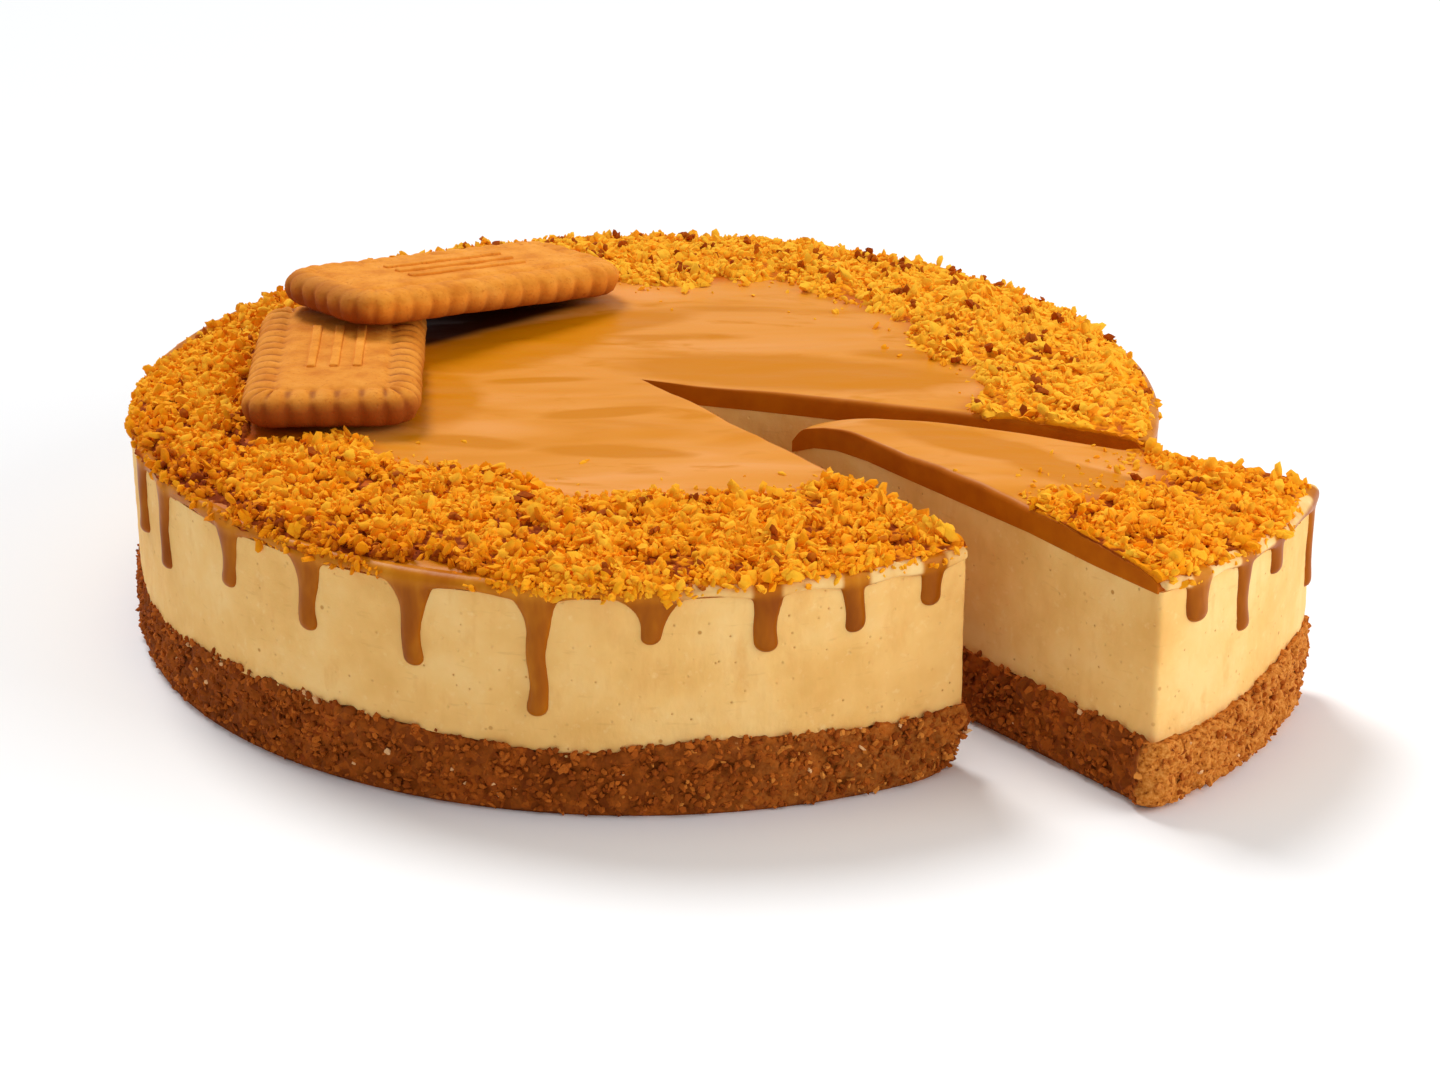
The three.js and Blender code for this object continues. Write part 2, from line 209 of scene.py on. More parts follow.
def smoothStep(low, high, value):
    t = np.clip((value - low) / (high - low), 0, 1)
    return t * t * (3 - 2 * t)


# Rises to 1 between the first two values and falls again between the last two
def window(value, start, full, fullTo, end):
    return smoothStep(start, full, value) * smoothStep(end, fullTo, value)


# Stretches round the cake, in degrees
stretches = {
    "far": (-45, -20, 100, 135),
    "left": (-174, -164, -108, -96),
    "nearLedge": (-90, -84, -20, -10),
    "bareLedge": (-88, -82, -18, -10),
    "right": (-25, -10, 45, 75),
    "farRight": (-30, -12, 45, 75),
    "goldenCrust": (-95, -56, -50, -20),
}


def rimShare(name, angle):
    return window(np.degrees(angle), *stretches[name])


# Distances along and across from a centre, on axes turned by some degrees
def turnedAxes(x, y, centre, degrees):
    turn = math.radians(degrees)
    dx = x - centre[0]
    dy = y - centre[1]
    return dx * math.cos(turn) + dy * math.sin(turn), dy * math.cos(turn) - dx * math.sin(turn)


# The left end of the cake, where little stands out over the rim
def leftShare(angle):
    return smoothStep(0.2, 0.9, -np.cos(angle))


def heading(turn):
    return np.array([math.cos(turn), math.sin(turn)])


def roundCake(radius, angle, height):
    return np.column_stack([radius * np.cos(angle), radius * np.sin(angle), height])


# The cake's own heights, by the distance from the axis and the angle round it
def crustTop(radius, angle):
    turn = angle - math.radians(-77)
    wave = 0.9 * np.cos(7 * turn) + 0.5 * np.cos(3 * angle + 1.1) + 0.3 * np.cos(13 * angle)
    return cake["crustHeight"] + wave * (radius / cake["radius"]) ** 3


# The slice's tip hangs down, its far side has sunk and its spread is thicker halfway
def droop(radius, part):
    return part["slice"] * cake["tipDroop"] * np.maximum(0, 1 - radius / cake["tipDroopLength"]) ** 2


def settling(radius, angle, part):
    across = smoothStep(math.radians(part["from"]), math.radians(part["to"]), angle)
    return part["slice"] * cake["sliceFall"] * across * smoothStep(20, 62, radius)


def bulge(radius, part):
    return part["slice"] * cake["sliceBulge"] * np.exp(-(((radius - 50) / 24) ** 2))


def fillingTop(radius, angle, part):
    dome = cake["fillingDome"] * (1 - (radius / cake["radius"]) ** 2)
    sunk = droop(radius, part) + cake["fillingSinks"] * settling(radius, angle, part)
    return cake["fillingTop"] + dome + 0.4 * bulge(radius, part) - sunk


def caramelTop(radius, angle, part):
    fall = cake["caramelFall"] * (radius / cake["radius"]) ** 4
    sunk = droop(radius, part) + settling(radius, angle, part)
    return cake["caramelTop"] - fall + bulge(radius, part) - sunk


# The inner edge of the band of crumbs
def bandEdge(angle):
    shift = np.interp(np.degrees(angle), *cake["bandShift"])
    return cake["crumbBandEdge"] + 3 * np.cos(5 * angle + 1) + 2 * np.cos(11 * angle) + shift


def bandCover(radius, angle):
    edge = bandEdge(angle)
    return smoothStep(edge - 3, edge + 4, radius)


def polar(points):
    radius = np.hypot(points[:, 0], points[:, 1])
    angle = np.arctan2(points[:, 1], points[:, 0])
    return radius, angle


# How far it is from the point of the cut to a circle round the cake
def reachTo(part, turn, radius):
    along = -part["apex"] @ heading(turn)
    return along + math.sqrt(along**2 - part["apex"] @ part["apex"] + radius**2)


# Where a cut face meets the rim
def rimPoint(part, degrees, radius):
    turn = math.radians(degrees)
    return part["apex"] + reachTo(part, turn, radius) * heading(turn)


# Sheets are laid on rays from the point of the cut, and their rim lies on a circle round the cake
def fanTurns(part, step):
    first = math.radians(part["from"])
    last = math.radians(part["to"])
    return np.linspace(first, last, int(math.degrees(last - first) / step) + 1)


def fanReach(part, turns, radii, rim):
    return np.array([reachTo(part, turn, rim) for turn in turns]) * np.array(radii)[:, None] / rim


def fanPoints(part, turns, along, aside=0):
    x = part["apex"][0] + along * np.cos(turns) - aside * np.sin(turns)
    y = part["apex"][1] + along * np.sin(turns) + aside * np.cos(turns)
    return np.column_stack([x.ravel(), y.ravel(), 0 * x.ravel()])


def rimAngles(part):
    first = rimPoint(part, part["from"], cake["radius"])
    last = rimPoint(part, part["to"], cake["radius"])
    start = math.atan2(first[1], first[0])
    end = math.atan2(last[1], last[0])
    return start, end if end > start else end + 2 * math.pi


# The outline of a part from above, evenly stepped, with its corners rounded by averaging
def sectorPath(part, wall):
    radius = cake["radius"]
    start, end = rimAngles(part)
    turn = np.linspace(start, end, int(radius * (end - start) / wall["spacing"]))
    rim = radius * np.stack([np.cos(turn), np.sin(turn)], 1)
    apex = part["apex"]
    share = np.linspace(0, 1, int(radius / wall["spacing"]))[1:, None]
    inward = rim[-1] + (apex - rim[-1]) * share
    outward = apex + (rim[0] - apex) * share[:-1]
    path = np.concatenate([rim, inward, outward])
    for _ in range(wall["cornerPasses"]):
        path = (np.roll(path, 1, 0) + 2 * path + np.roll(path, -1, 0)) / 4
    return path


def outwardNormals(path):
    along = np.roll(path, -1, 0) - np.roll(path, 1, 0)
    along /= np.linalg.norm(along, axis=1)[:, None]
    return np.stack([along[:, 1], -along[:, 0]], 1)


# A ring of corners on the floor is filled, then drawn up ring by ring to the given places
def drawnUp(name, rings):
    circle = {"vertices": len(rings[0]), "radius": 0.05, "fill_type": "NGON"}
    piece = begin(bpy.ops.mesh.primitive_circle_add, name, **circle)
    edit(piece)
    for _ in rings[1:]:
        bpy.ops.mesh.extrude_region_move(TRANSFORM_OT_translate={"value": (0, 0, 0.001)})
    done()
    writePoints(piece, np.concatenate(rings))
    edit(piece)
    bpy.ops.mesh.normals_make_consistent(inside=False)
    done()
    return piece


# Finishes: the helpers below add their nodes to the finish that was started last
def newFinish(name, roughness, **sockets):
    global material, tree, shader
    material = bpy.data.materials.new(name)
    material.use_nodes = True
    tree = material.node_tree
    shader = tree.nodes["Principled BSDF"]
    shader.inputs["Roughness"].default_value = roughness
    for socket, value in sockets.items():
        shader.inputs[socket.replace("_", " ")].default_value = value


def srgb(red, green, blue):
    def linear(value):
        share = value / 255
        return share / 12.92 if share <= 0.04045 else ((share + 0.055) / 1.055) ** 2.4
    return (linear(red), linear(green), linear(blue), 1)


# A shader node with its settings, then the value or link of each socket: gives the output that is used
def addNode(kind, output, sockets, **settings):
    node = tree.nodes.new(f"ShaderNode{kind}")
    for setting, value in settings.items():
        setattr(node, setting, value)
    for socket, value in sockets.items():
        if isinstance(value, bpy.types.NodeSocket):
            tree.links.new(value, node.inputs[socket])
        else:
            node.inputs[socket].default_value = value
    return node.outputs[output]


def objectPlace(stretch=(1, 1, 1), turn=(0, 0, 0)):
    place = addNode("TexCoord", "Object", {})
    return addNode("Mapping", "Vector", {"Vector": place, "Scale": stretch, "Rotation": turn})


# size is the pattern's grain in millimetres
def noisePattern(place, size, detail=4, roughness=0.6, distortion=0):
    grain = {"Scale": 1000 / size, "Detail": detail, "Roughness": roughness, "Distortion": distortion}
    return addNode("TexNoise", "Fac", {"Vector": place, **grain})


def cellPattern(place, size, output="Distance"):
    return addNode("TexVoronoi", output, {"Vector": place, "Scale": 1000 / size})


def colourRamp(value, *stops):
    ramp = tree.nodes.new("ShaderNodeValToRGB")
    elements = ramp.color_ramp.elements
    while len(elements) < len(stops):
        elements.new(0.5)
    for element, (place, colour) in zip(elements, stops):
        element.position = place
        element.color = srgb(*colour)
    tree.links.new(value, ramp.inputs["Fac"])
    return ramp.outputs["Color"]


def between(value, low, high):
    return addNode("MapRange", "Result", {"Value": value, "From Min": low, "From Max": high})


def mixed(share, first, second, way="MIX"):
    return addNode("Mix", 2, {0: share, 6: first, 7: second}, data_type="RGBA", blend_type=way)


def arithmetic(operation, first, second):
    return addNode("Math", "Value", {0: first, 1: second}, operation=operation)


def attributeValue(name):
    return addNode("Attribute", "Fac", {}, attribute_name=name)


# The finish's colour, and its relief: height, depth in millimetres and strength
def dress(colour, *reliefs):
    tree.links.new(colour, shader.inputs["Base Color"])
    below = {}
    for height, depth, strength in reliefs:
        sockets = {"Height": height, "Distance": depth / 1000, "Strength": strength, **below}
        below = {"Normal": addNode("Bump", "Normal", sockets)}
    tree.links.new(below["Normal"], shader.inputs["Normal"])
    return material


def crustFinish():
    newFinish("pressedCrumb", 0.85, Specular_IOR_Level=0.12)
    place = objectPlace()
    patches = noisePattern(place, 11)
    grains = cellPattern(place, 1.5, "Color")
    fine = noisePattern(place, 0.8, 5, 0.7)
    base = colourRamp(patches, (0.3, (158, 76, 14)), (0.5, (182, 91, 20)), (0.72, (202, 108, 30)))
    tone = colourRamp(grains, (0.1, (92, 64, 44)), (0.5, (128, 128, 128)), (0.9, (166, 158, 146)))
    shaded = mixed(0.7, base, tone, "OVERLAY")
    golden = colourRamp(fine, (0.34, (146, 72, 14)), (0.46, (198, 114, 34)), (0.64, (234, 156, 72)))
    warm = mixed(attributeValue("golden"), shaded, golden)
    speckled = mixed(between(fine, 0.68, 0.76), warm, srgb(222, 150, 88))
    # Painted shade in the pits, where the relief is lowest
    shadedPits = mixed(between(fine, 0.42, 0.3), speckled, srgb(96, 34, 6))
    return dress(shadedPits, (cellPattern(place, 1.2), 0.4, 0.6), (fine, 0.2, 0.7))


def fillingFinish():
    soft = {"Subsurface_Weight": 0.1, "Subsurface_Scale": 0.003, "Specular_IOR_Level": 0.15}
    newFinish("setFilling", 0.62, **soft)
    place = objectPlace()
    tall = objectPlace((1, 1, 0.4))
    clouds = noisePattern(place, 18)
    smears = between(noisePattern(tall, 4), 0.56, 0.8)
    froth = between(noisePattern(place, 1.8, 3), 0.6, 0.9)
    base = colourRamp(clouds, (0.32, (236, 180, 98)), (0.5, (246, 194, 114)), (0.68, (251, 206, 132)))
    smeared = mixed(smears, base, srgb(236, 178, 98))
    frothy = mixed(froth, smeared, srgb(252, 212, 144))
    # Fine pores that run level, as the filling settled, with painted shade in them
    level = between(noisePattern(objectPlace((0.22, 0.22, 1)), 1.1, 2), 0.64, 0.74)
    frothy = mixed(arithmetic("MULTIPLY", level, 0.22), frothy, srgb(206, 148, 74))
    # Pores and pits, darkened with painted shade
    small = cellPattern(place, 2.1)
    large = between(cellPattern(place, 5.3), 0.085, 0.05)
    pores = arithmetic("MAXIMUM", between(small, 0.1, 0.06), large)
    patchy = between(noisePattern(place, 9, 2), 0.42, 0.62)
    speckled = mixed(arithmetic("MULTIPLY", pores, patchy), frothy, srgb(202, 142, 70))
    waves = noisePattern(tall, 5, 3)
    pits = between(small, 0.0, 0.16)
    return dress(speckled, (waves, 0.6, 0.5), (noisePattern(place, 1.1), 0.16, 0.6), (pits, 0.3, 0.6))


def caramelFinish():
    soft = {"Subsurface_Weight": 0.05, "Subsurface_Scale": 0.003, "Specular_IOR_Level": 0.09}
    newFinish("caramelSpread", 0.4, **soft)
    strokes = objectPlace((0.34, 1, 1), (0, 0, math.radians(6)))
    place = objectPlace()
    wide = noisePattern(strokes, 15, 2, 0.5, 0.9)
    slim = noisePattern(strokes, 5, 3, 0.5, 0.8)
    light = ((0.3, (218, 134, 22)), (0.43, (226, 144, 46)), (0.58, (230, 150, 62)), (0.75, (237, 160, 84)))
    base = colourRamp(wide, *light)
    streaked = mixed(between(slim, 0.57, 0.72), base, srgb(214, 130, 8))
    rough = arithmetic("MULTIPLY", attributeValue("amber"), 1.2)
    edge = arithmetic("ADD", rough, arithmetic("MULTIPLY", slim, 0.6))
    thick = mixed(between(edge, 0.46, 0.86), streaked, srgb(211, 127, 0))
    band = mixed(attributeValue("band"), thick, srgb(196, 92, 6))
    # Painted shadow under the back biscuit, near black
    deep = mixed(attributeValue("gap"), band, srgb(58, 20, 2))
    # The spread is darker in its body, where a cut shows it, and matt there
    body = colourRamp(noisePattern(place, 6, 3), (0.3, (174, 84, 0)), (0.7, (192, 100, 2)))
    cut = attributeValue("cut")
    gloss = addNode("MapRange", "Result", {"Value": slim, "To Min": 0.28, "To Max": 0.46})
    roughness = arithmetic("MAXIMUM", gloss, arithmetic("MULTIPLY", cut, 0.65))
    tree.links.new(roughness, shader.inputs["Roughness"])
    colour = mixed(cut, deep, body)
    return dress(colour, (wide, 1.0, 0.3), (slim, 0.4, 0.3), (noisePattern(place, 1.4, 3), 0.06, 0.3))


def dripFinish():
    newFinish("caramelDrip", 0.34, Specular_IOR_Level=0.1)
    place = objectPlace((1, 1, 0.35))
    tone = noisePattern(place, 5, 3)
    brown = colourRamp(tone, (0.3, (142, 68, 0)), (0.55, (166, 88, 2)), (0.75, (188, 110, 12)))
    # Lighter towards the top of the lip: thinner glaze over the cream, and painted sheen
    thin = colourRamp(tone, (0.3, (184, 100, 6)), (0.55, (202, 120, 14)), (0.75, (216, 140, 36)))
    creamy = colourRamp(tone, (0.35, (236, 180, 100)), (0.65, (248, 208, 138)))
    glaze = mixed(attributeValue("thin"), brown, thin)
    colour = mixed(attributeValue("pale"), glaze, creamy)
    return dress(colour, (tone, 0.4, 0.3), (noisePattern(place, 1.6, 3), 0.12, 0.4))


def crumbFinish():
    newFinish("goldenCrumb", 0.8, Specular_IOR_Level=0.08)
    fine = noisePattern(objectPlace(), 0.9, 3)
    tint = arithmetic("ADD", attributeValue("tint"), arithmetic("MULTIPLY", fine, 0.3))
    # Low tints: toasted colour on toasted crumbs, painted shade on the bed's hollows and the crumbs in them
    toasted = ((0.0, (130, 48, 4)), (0.15, (168, 76, 4)))
    golden = ((0.32, (226, 128, 6)), (0.6, (248, 156, 10)), (1.0, (255, 190, 48)))
    colour = colourRamp(arithmetic("SUBTRACT", tint, 0.15), *toasted, *golden)
    return dress(colour, (fine, 0.25, 0.7))


def grainFinish():
    newFinish("crustGrain", 0.85, Specular_IOR_Level=0.12)
    fine = noisePattern(objectPlace(), 0.7, 4, 0.7)
    brown = ((0.0, (140, 64, 12)), (0.3, (168, 84, 20)), (0.56, (192, 102, 30)))
    golden = ((0.6, (190, 106, 32)), (0.95, (228, 146, 62)), (1.0, (236, 184, 128)))
    colour = colourRamp(attributeValue("tint"), *brown, *golden)
    # Painted shade in the pits, where the relief is lowest
    shadedPits = mixed(between(fine, 0.42, 0.3), colour, srgb(112, 44, 8))
    return dress(shadedPits, (fine, 0.25, 0.7))


def biscuitFinish():
    newFinish("bakedBiscuit", 0.75, Specular_IOR_Level=0.15)
    place = objectPlace()
    patches = noisePattern(place, 6, 5)
    fine = noisePattern(place, 0.8, 5, 0.7)
    base = colourRamp(patches, (0.3, (216, 124, 26)), (0.5, (236, 148, 44)), (0.72, (247, 164, 62)))
    grained = mixed(between(fine, 0.55, 0.75), base, srgb(206, 112, 24))
    # Baked colour, with painted shade on the foot, in the grooves and on one end
    toasted = mixed(attributeValue("toast"), grained, srgb(146, 70, 14))
    pores = between(cellPattern(place, 1.7), 0.0, 0.2)
    return dress(toasted, (noisePattern(place, 3), 0.4, 0.5), (fine, 0.2, 0.7), (pores, 0.2, 0.5))


crust = crustFinish()
filling = fillingFinish()
caramel = caramelFinish()
dripping = dripFinish()
golden = crumbFinish()
grainy = grainFinish()
baked = biscuitFinish()
print("finishes made")


# The crust: a wall that leans out over its foot, lumpy all over
crustWall = {
    "spacing": 0.42,
    "row": 0.44,
    "footRise": 2.0,
    "shoulder": 0.35,
    "onCuts": 0.4,
    "onRim": (86, 89),
    "flatBelow": (0.2, 1.4),
    "cornerPasses": 6,
    # How far the wall stands out of the filling, by the angle round the cake
    "reach": {
        "main": ((-180, -150, -110, -60, -15, 60, 180), (0.5, 0.55, 0.9, 1.2, 1.0, 1.0, 0.5)),
        "slice": ((-52, -40, -25, -15), (2.6, 2.0, 1.2, 0.8)),
    },
    # Crumbled corners, drawn in at the foot: direction of the cut face and depth
    "corners": {"main": ((306.6, 2.2), (-16.5, 1.6)), "slice": ((-15.6, 3.2),)},
    "cornerWidth": 5,
    "cornerRise": 9,
    # The outer side of the slice is the most golden, and the right end of the cake a little
    "golden": {"main": (0.3, 87, 89.5), "slice": (0.9, 88.2, 89.6)},
    "relief": (("CLOUDS", 6, 1.7), ("VORONOI", 2.6, -1.2), ("VORONOI", 1.3, -0.9)),
}


# The wall's place at a height for points of the outline and the directions that face out there
def crustWallAt(path, out, height, part):
    radius, angle = polar(path)
    top = crustTop(radius, angle)
    lean = np.sin(np.minimum(1, height / crustWall["footRise"]) * math.pi / 2)
    shoulder = 1 - crustWall["shoulder"] * smoothStep(0.85, 1, height / top)
    onRim = crustWall["onCuts"] + (1 - crustWall["onCuts"]) * smoothStep(*crustWall["onRim"], radius)
    reach = np.interp(np.degrees(angle), *crustWall["reach"][part["name"]]) * lean * shoulder * onRim
    flat = path + out * reach[:, None]
    for degrees, depth in crustWall["corners"][part["name"]]:
        corner = rimPoint(part, degrees, cake["radius"])
        near = np.exp(-((np.linalg.norm(path - corner, axis=1) / crustWall["cornerWidth"]) ** 2))
        share = depth * near * (1 - smoothStep(0, crustWall["cornerRise"], height))
        flat -= (near @ out / np.linalg.norm(near @ out)) * share[:, None]
    return flat


def goldenShare(path, part):
    radius, angle = polar(path)
    most, start, full = crustWall["golden"][part["name"]]
    around = 1 if part["slice"] else rimShare("goldenCrust", angle)
    return most * around * smoothStep(start, full, radius)


def addCrust(part, node):
    path = sectorPath(part, crustWall)
    out = outwardNormals(path)
    radius, angle = polar(path)
    top = crustTop(radius, angle)
    rows = int(cake["crustHeight"] / crustWall["row"])
    rings = []
    for row in range(rows + 1):
        height = row / rows * top
        rings.append(np.column_stack([crustWallAt(path, out, height, part), height]))
    rings.append(np.column_stack([path, top]))
    piece = drawnUp(f"{part['name']}Crust", rings)
    addLayer(piece, "golden", np.tile(goldenShare(path, part), len(rings)))
    # The underside stays flat
    weigh(piece, "side", smoothStep(*crustWall["flatBelow"], readPoints(piece)[:, 2]))
    roughen(piece, crustWall["relief"], "side")
    shade(piece, 60)
    settle(piece, part, "crust", crust, node)


addCrust(mainPart, "crust")
addCrust(slicePart, "slice_crust")


# The filling: a smooth wall with faint unevenness from the ring that it was set in
fillingWall = {
    "spacing": 0.55,
    "rows": 44,
    "cornerPasses": 4,
    "overlap": 1.2,
    "relief": (("CLOUDS", 22, 0.6), ("CLOUDS", 5, 0.34), ("CLOUDS", 2, 0.16)),
}


def addFilling(part, node):
    path = sectorPath(part, fillingWall)
    radius, angle = polar(path)
    low = crustTop(radius, angle) - fillingWall["overlap"]
    high = fillingTop(radius, angle, part)
    shares = np.linspace(0, 1, fillingWall["rows"] + 1)
    rings = [np.column_stack([path, low + (high - low) * share]) for share in shares]
    piece = drawnUp(f"{part['name']}Filling", rings)
    roughen(piece, fillingWall["relief"])
    shade(piece, 40)
    settle(piece, part, "filling", filling, node)


addFilling(mainPart, "filling")
addFilling(slicePart, "slice_filling")


# Where the two biscuits lie
biscuits = {
    "length": 62,
    "width": 30,
    "thickness": 6.3,
    "corner": {"front": 5.8, "back": 8},
    "front": {"centre": (-54.2, 0.4, 40.6), "yaw": 93.5, "pitch": 3.4, "roll": 0},
    "back": {"centre": (-36, 34.5, 44.85), "yaw": 39.5, "pitch": 5.6, "roll": -3},
    # Baked colour and painted shade: how dark the foot of the side is and how high that goes, the painted
    # shade in the grooves, and the whole
    "toast": {"front": (0.6, 2.2, 5.6, 0.7, 0.1), "back": (0.72, 0.4, 4.2, 0.4, 0)},
    "ribbing": {"front": 1, "back": 0.4},
    # How little of the painted shade on the end shows from above
    "cleanTop": {"front": 1, "back": 0.2},
    # How dark the painted shade on that end is
    "darkEnd": {"front": 0.4, "back": 0.58},
    # Painted shadow on the spread under the back biscuit, which closes towards its right end
    "gap": {"across": (-12.4, -8.4, 12, 15), "along": (-33, -27, 17, 29)},
}

# Bare places of the glaze beside the crumbs at the rim: angle, half width in degrees, depth
glazePads = ((-111, 7, 3.4), (-126, 3, 1.6), (-141, 4, 1.8), (-159, 4, 1.6), (158, 19, 3.4))


def padDepth(angle, part):
    depth = 0 * angle
    if not part["slice"]:
        for middle, half, deep in glazePads:
            away = np.degrees(np.abs(np.angle(np.exp(1j * (angle - math.radians(middle))))))
            depth = np.maximum(depth, deep * np.exp(-((away / half) ** 2)))
    return depth


# The spread: one sheet from the middle over the top and back underneath, closed at its two cut faces
spread = {
    "turnStep": 0.55,
    "ringStep": 0.8,
    "firstRing": 0.02,
    "rim": 89.4,
    "cutRound": 1.0,
    "cutProud": 0.15,
    "roundShares": (0, 0.1, 0.3, 0.6),
    "under": (75, 60, 45, 30, 20, 12, 6),
    # How far below its top the sheet turns round the rim, and how deep it lies in the filling
    "shoulder": 0.3,
    "edge": 1.0,
    "overlap": 0.3,
    "underRelief": 0.35,
    # Relief: sizes along x, y and z, depth and seed
    "strokes": ((30, 8, 9), 0.5, 3.1),
    "ripples": ((11, 3.4, 4), 0.14, 7.7),
    "nose": (1.8, 3.5),
    # Where the pads of glaze start, and how deep they are where all is amber and where no crumb is
    "padsFrom": (79, 83),
    "padAmber": 3,
    "padBare": 4,
    # Places where the spread is thicker and more amber: x, y, half length, half width, amount, turn
    "amber": {
        "main": [
            (-27, 14, 20, 9, 1, 25), (-36, -12, 8, 14, 0.8, 0), (26, 2.5, 28, 8.5, 1, -8),
            (-7, -18, 10, 2.2, 0.9, 8), (-12, 28, 22, 6, 0.9, 20), (-4, -37, 13, 2.6, 0.9, -6),
            (50, 12, 14, 3, 0.7, -5), (-19, -2, 10, 1.8, 0.7, 5), (6, 22, 14, 2, 0.5, 4),
            (-30, -32, 12, 3, 0.7, -12), (16, 38, 14, 2.5, 0.5, 0),
        ],
        "slice": [(31, -18, 16, 5.5, 1, -33), (46, -31, 12, 6, 1, -33), (20, -9, 9, 2.4, 0.8, -25)],
    },
}


def spreadRelief(points, part):
    radius, angle = polar(points)
    cover = bandCover(radius, angle)
    drop, length = spread["nose"]
    nose = part["slice"] * drop * np.maximum(0, 1 - radius / length) ** 2
    soft = 0
    for sizes, depth, seed in (spread["strokes"], spread["ripples"]):
        soft += depth * waveNoise(points, sizes, seed)
    lumps = 0.5 + 0.5 * np.sin(23 * angle + 1.7 * radius) * np.cos(31 * angle - 0.9 * radius + 2)
    rim = 1 - smoothStep(86, 89, radius)
    return (soft * (1 - cover) + cover * (0.1 + 0.3 * lumps)) * rim - nose


def amberShare(points, part):
    share = np.zeros(len(points))
    for x, y, long, wide, amount, degrees in spread["amber"][part["name"]]:
        along, across = turnedAxes(points[:, 0], points[:, 1], (x, y), degrees)
        away = (along / long) ** 2 + (across / wide) ** 2
        share = np.maximum(share, amount * np.exp(-(away**1.5)))
    return share


# Painted shadow on the spread under the back biscuit
def paintedShadowShare(points):
    place = biscuits["back"]
    along, across = turnedAxes(points[:, 0], points[:, 1], place["centre"], place["yaw"])
    return window(across, *biscuits["gap"]["across"]) * window(along, *biscuits["gap"]["along"])


def gridSheet(name, rows, columns):
    grid = {"x_subdivisions": columns - 1, "y_subdivisions": rows - 1, "size": 0.1}
    return begin(bpy.ops.mesh.primitive_grid_add, name, **grid)


# The sheet's first and last rows are joined and its ends are filled
def closeSheet(piece, columns):
    picked = np.zeros(len(piece.data.vertices), bool)
    picked[:columns] = True
    picked[-columns:] = True
    pick(piece)
    selectPoints(piece, picked)
    bpy.ops.object.mode_set(mode="EDIT")
    bpy.ops.mesh.bridge_edge_loops()
    bpy.ops.mesh.select_all(action="SELECT")
    bpy.ops.mesh.fill_holes(sides=0)
    bpy.ops.mesh.normals_make_consistent(inside=False)
    done()


def addSpread(part, node):
    turns = fanTurns(part, spread["turnStep"])
    rounds = spread["roundShares"]
    # Columns beside each cut keep level with it: direction, share of the rounding and side
    columns = [(turns[0], share, 1) for share in rounds]
    columns += [(turn, 1, 0) for turn in turns[2:-2]]
    columns += [(turns[-1], share, -1) for share in reversed(rounds)]
    rim = spread["rim"]
    rows = [(r, "top") for r in np.arange(spread["firstRing"], rim - 1, spread["ringStep"])]
    rows += [(rim - 0.5, "shoulder"), (rim, "edge"), (rim, "waist")]
    rows += [(r, "under") for r in (rim, *spread["under"], spread["firstRing"])]
    piece = gridSheet(f"{part['name']}Spread", len(rows), len(columns))
    turn, share, side = np.array(columns).T
    along = fanReach(part, turn, [r for r, _ in rows], rim)
    wide = np.minimum(spread["cutRound"], along * 0.03)
    points = fanPoints(part, turn, along, side * (share * wide - spread["cutProud"]))
    radius, angle = polar(points)
    # The upper edge of the cut is rounded, but sharp under the crumbs
    drops = (wide * (1 - np.sqrt(1 - (1 - share) ** 2))).ravel() * (1 - 0.9 * bandCover(radius, angle))
    top = caramelTop(radius, angle, part) + spreadRelief(points, part) - drops
    bottom = fillingTop(np.minimum(radius, cake["radius"]), angle, part) - spread["overlap"]
    bottom += spread["underRelief"] * waveNoise(points, (7, 7, 7), 4.4)
    kinds = np.repeat([kind for _, kind in rows], len(columns))
    points[:, 2] = np.select(
        [kinds == "under", kinds == "shoulder", kinds == "edge", kinds == "waist"],
        [bottom, top - spread["shoulder"], top - spread["edge"], (top + bottom) / 2],
        top,
    )
    writePoints(piece, points)
    addLayer(piece, "cut", np.tile(np.sqrt(1 - share), len(rows)))
    pads = padDepth(angle, part) * smoothStep(*spread["padsFrom"], radius)
    addLayer(piece, "amber", np.maximum(amberShare(points, part), pads / spread["padAmber"]))
    addLayer(piece, "band", bandCover(radius, angle) * (1 - pads / spread["padBare"]))
    # Painted shadow under the back biscuit, on the main part only
    addLayer(piece, "gap", 0 * radius if part["slice"] else paintedShadowShare(points))
    closeSheet(piece, len(columns))
    shade(piece, 50)
    settle(piece, part, "caramel", caramel, node)


addSpread(mainPart, "caramel")
addSpread(slicePart, "slice_caramel")


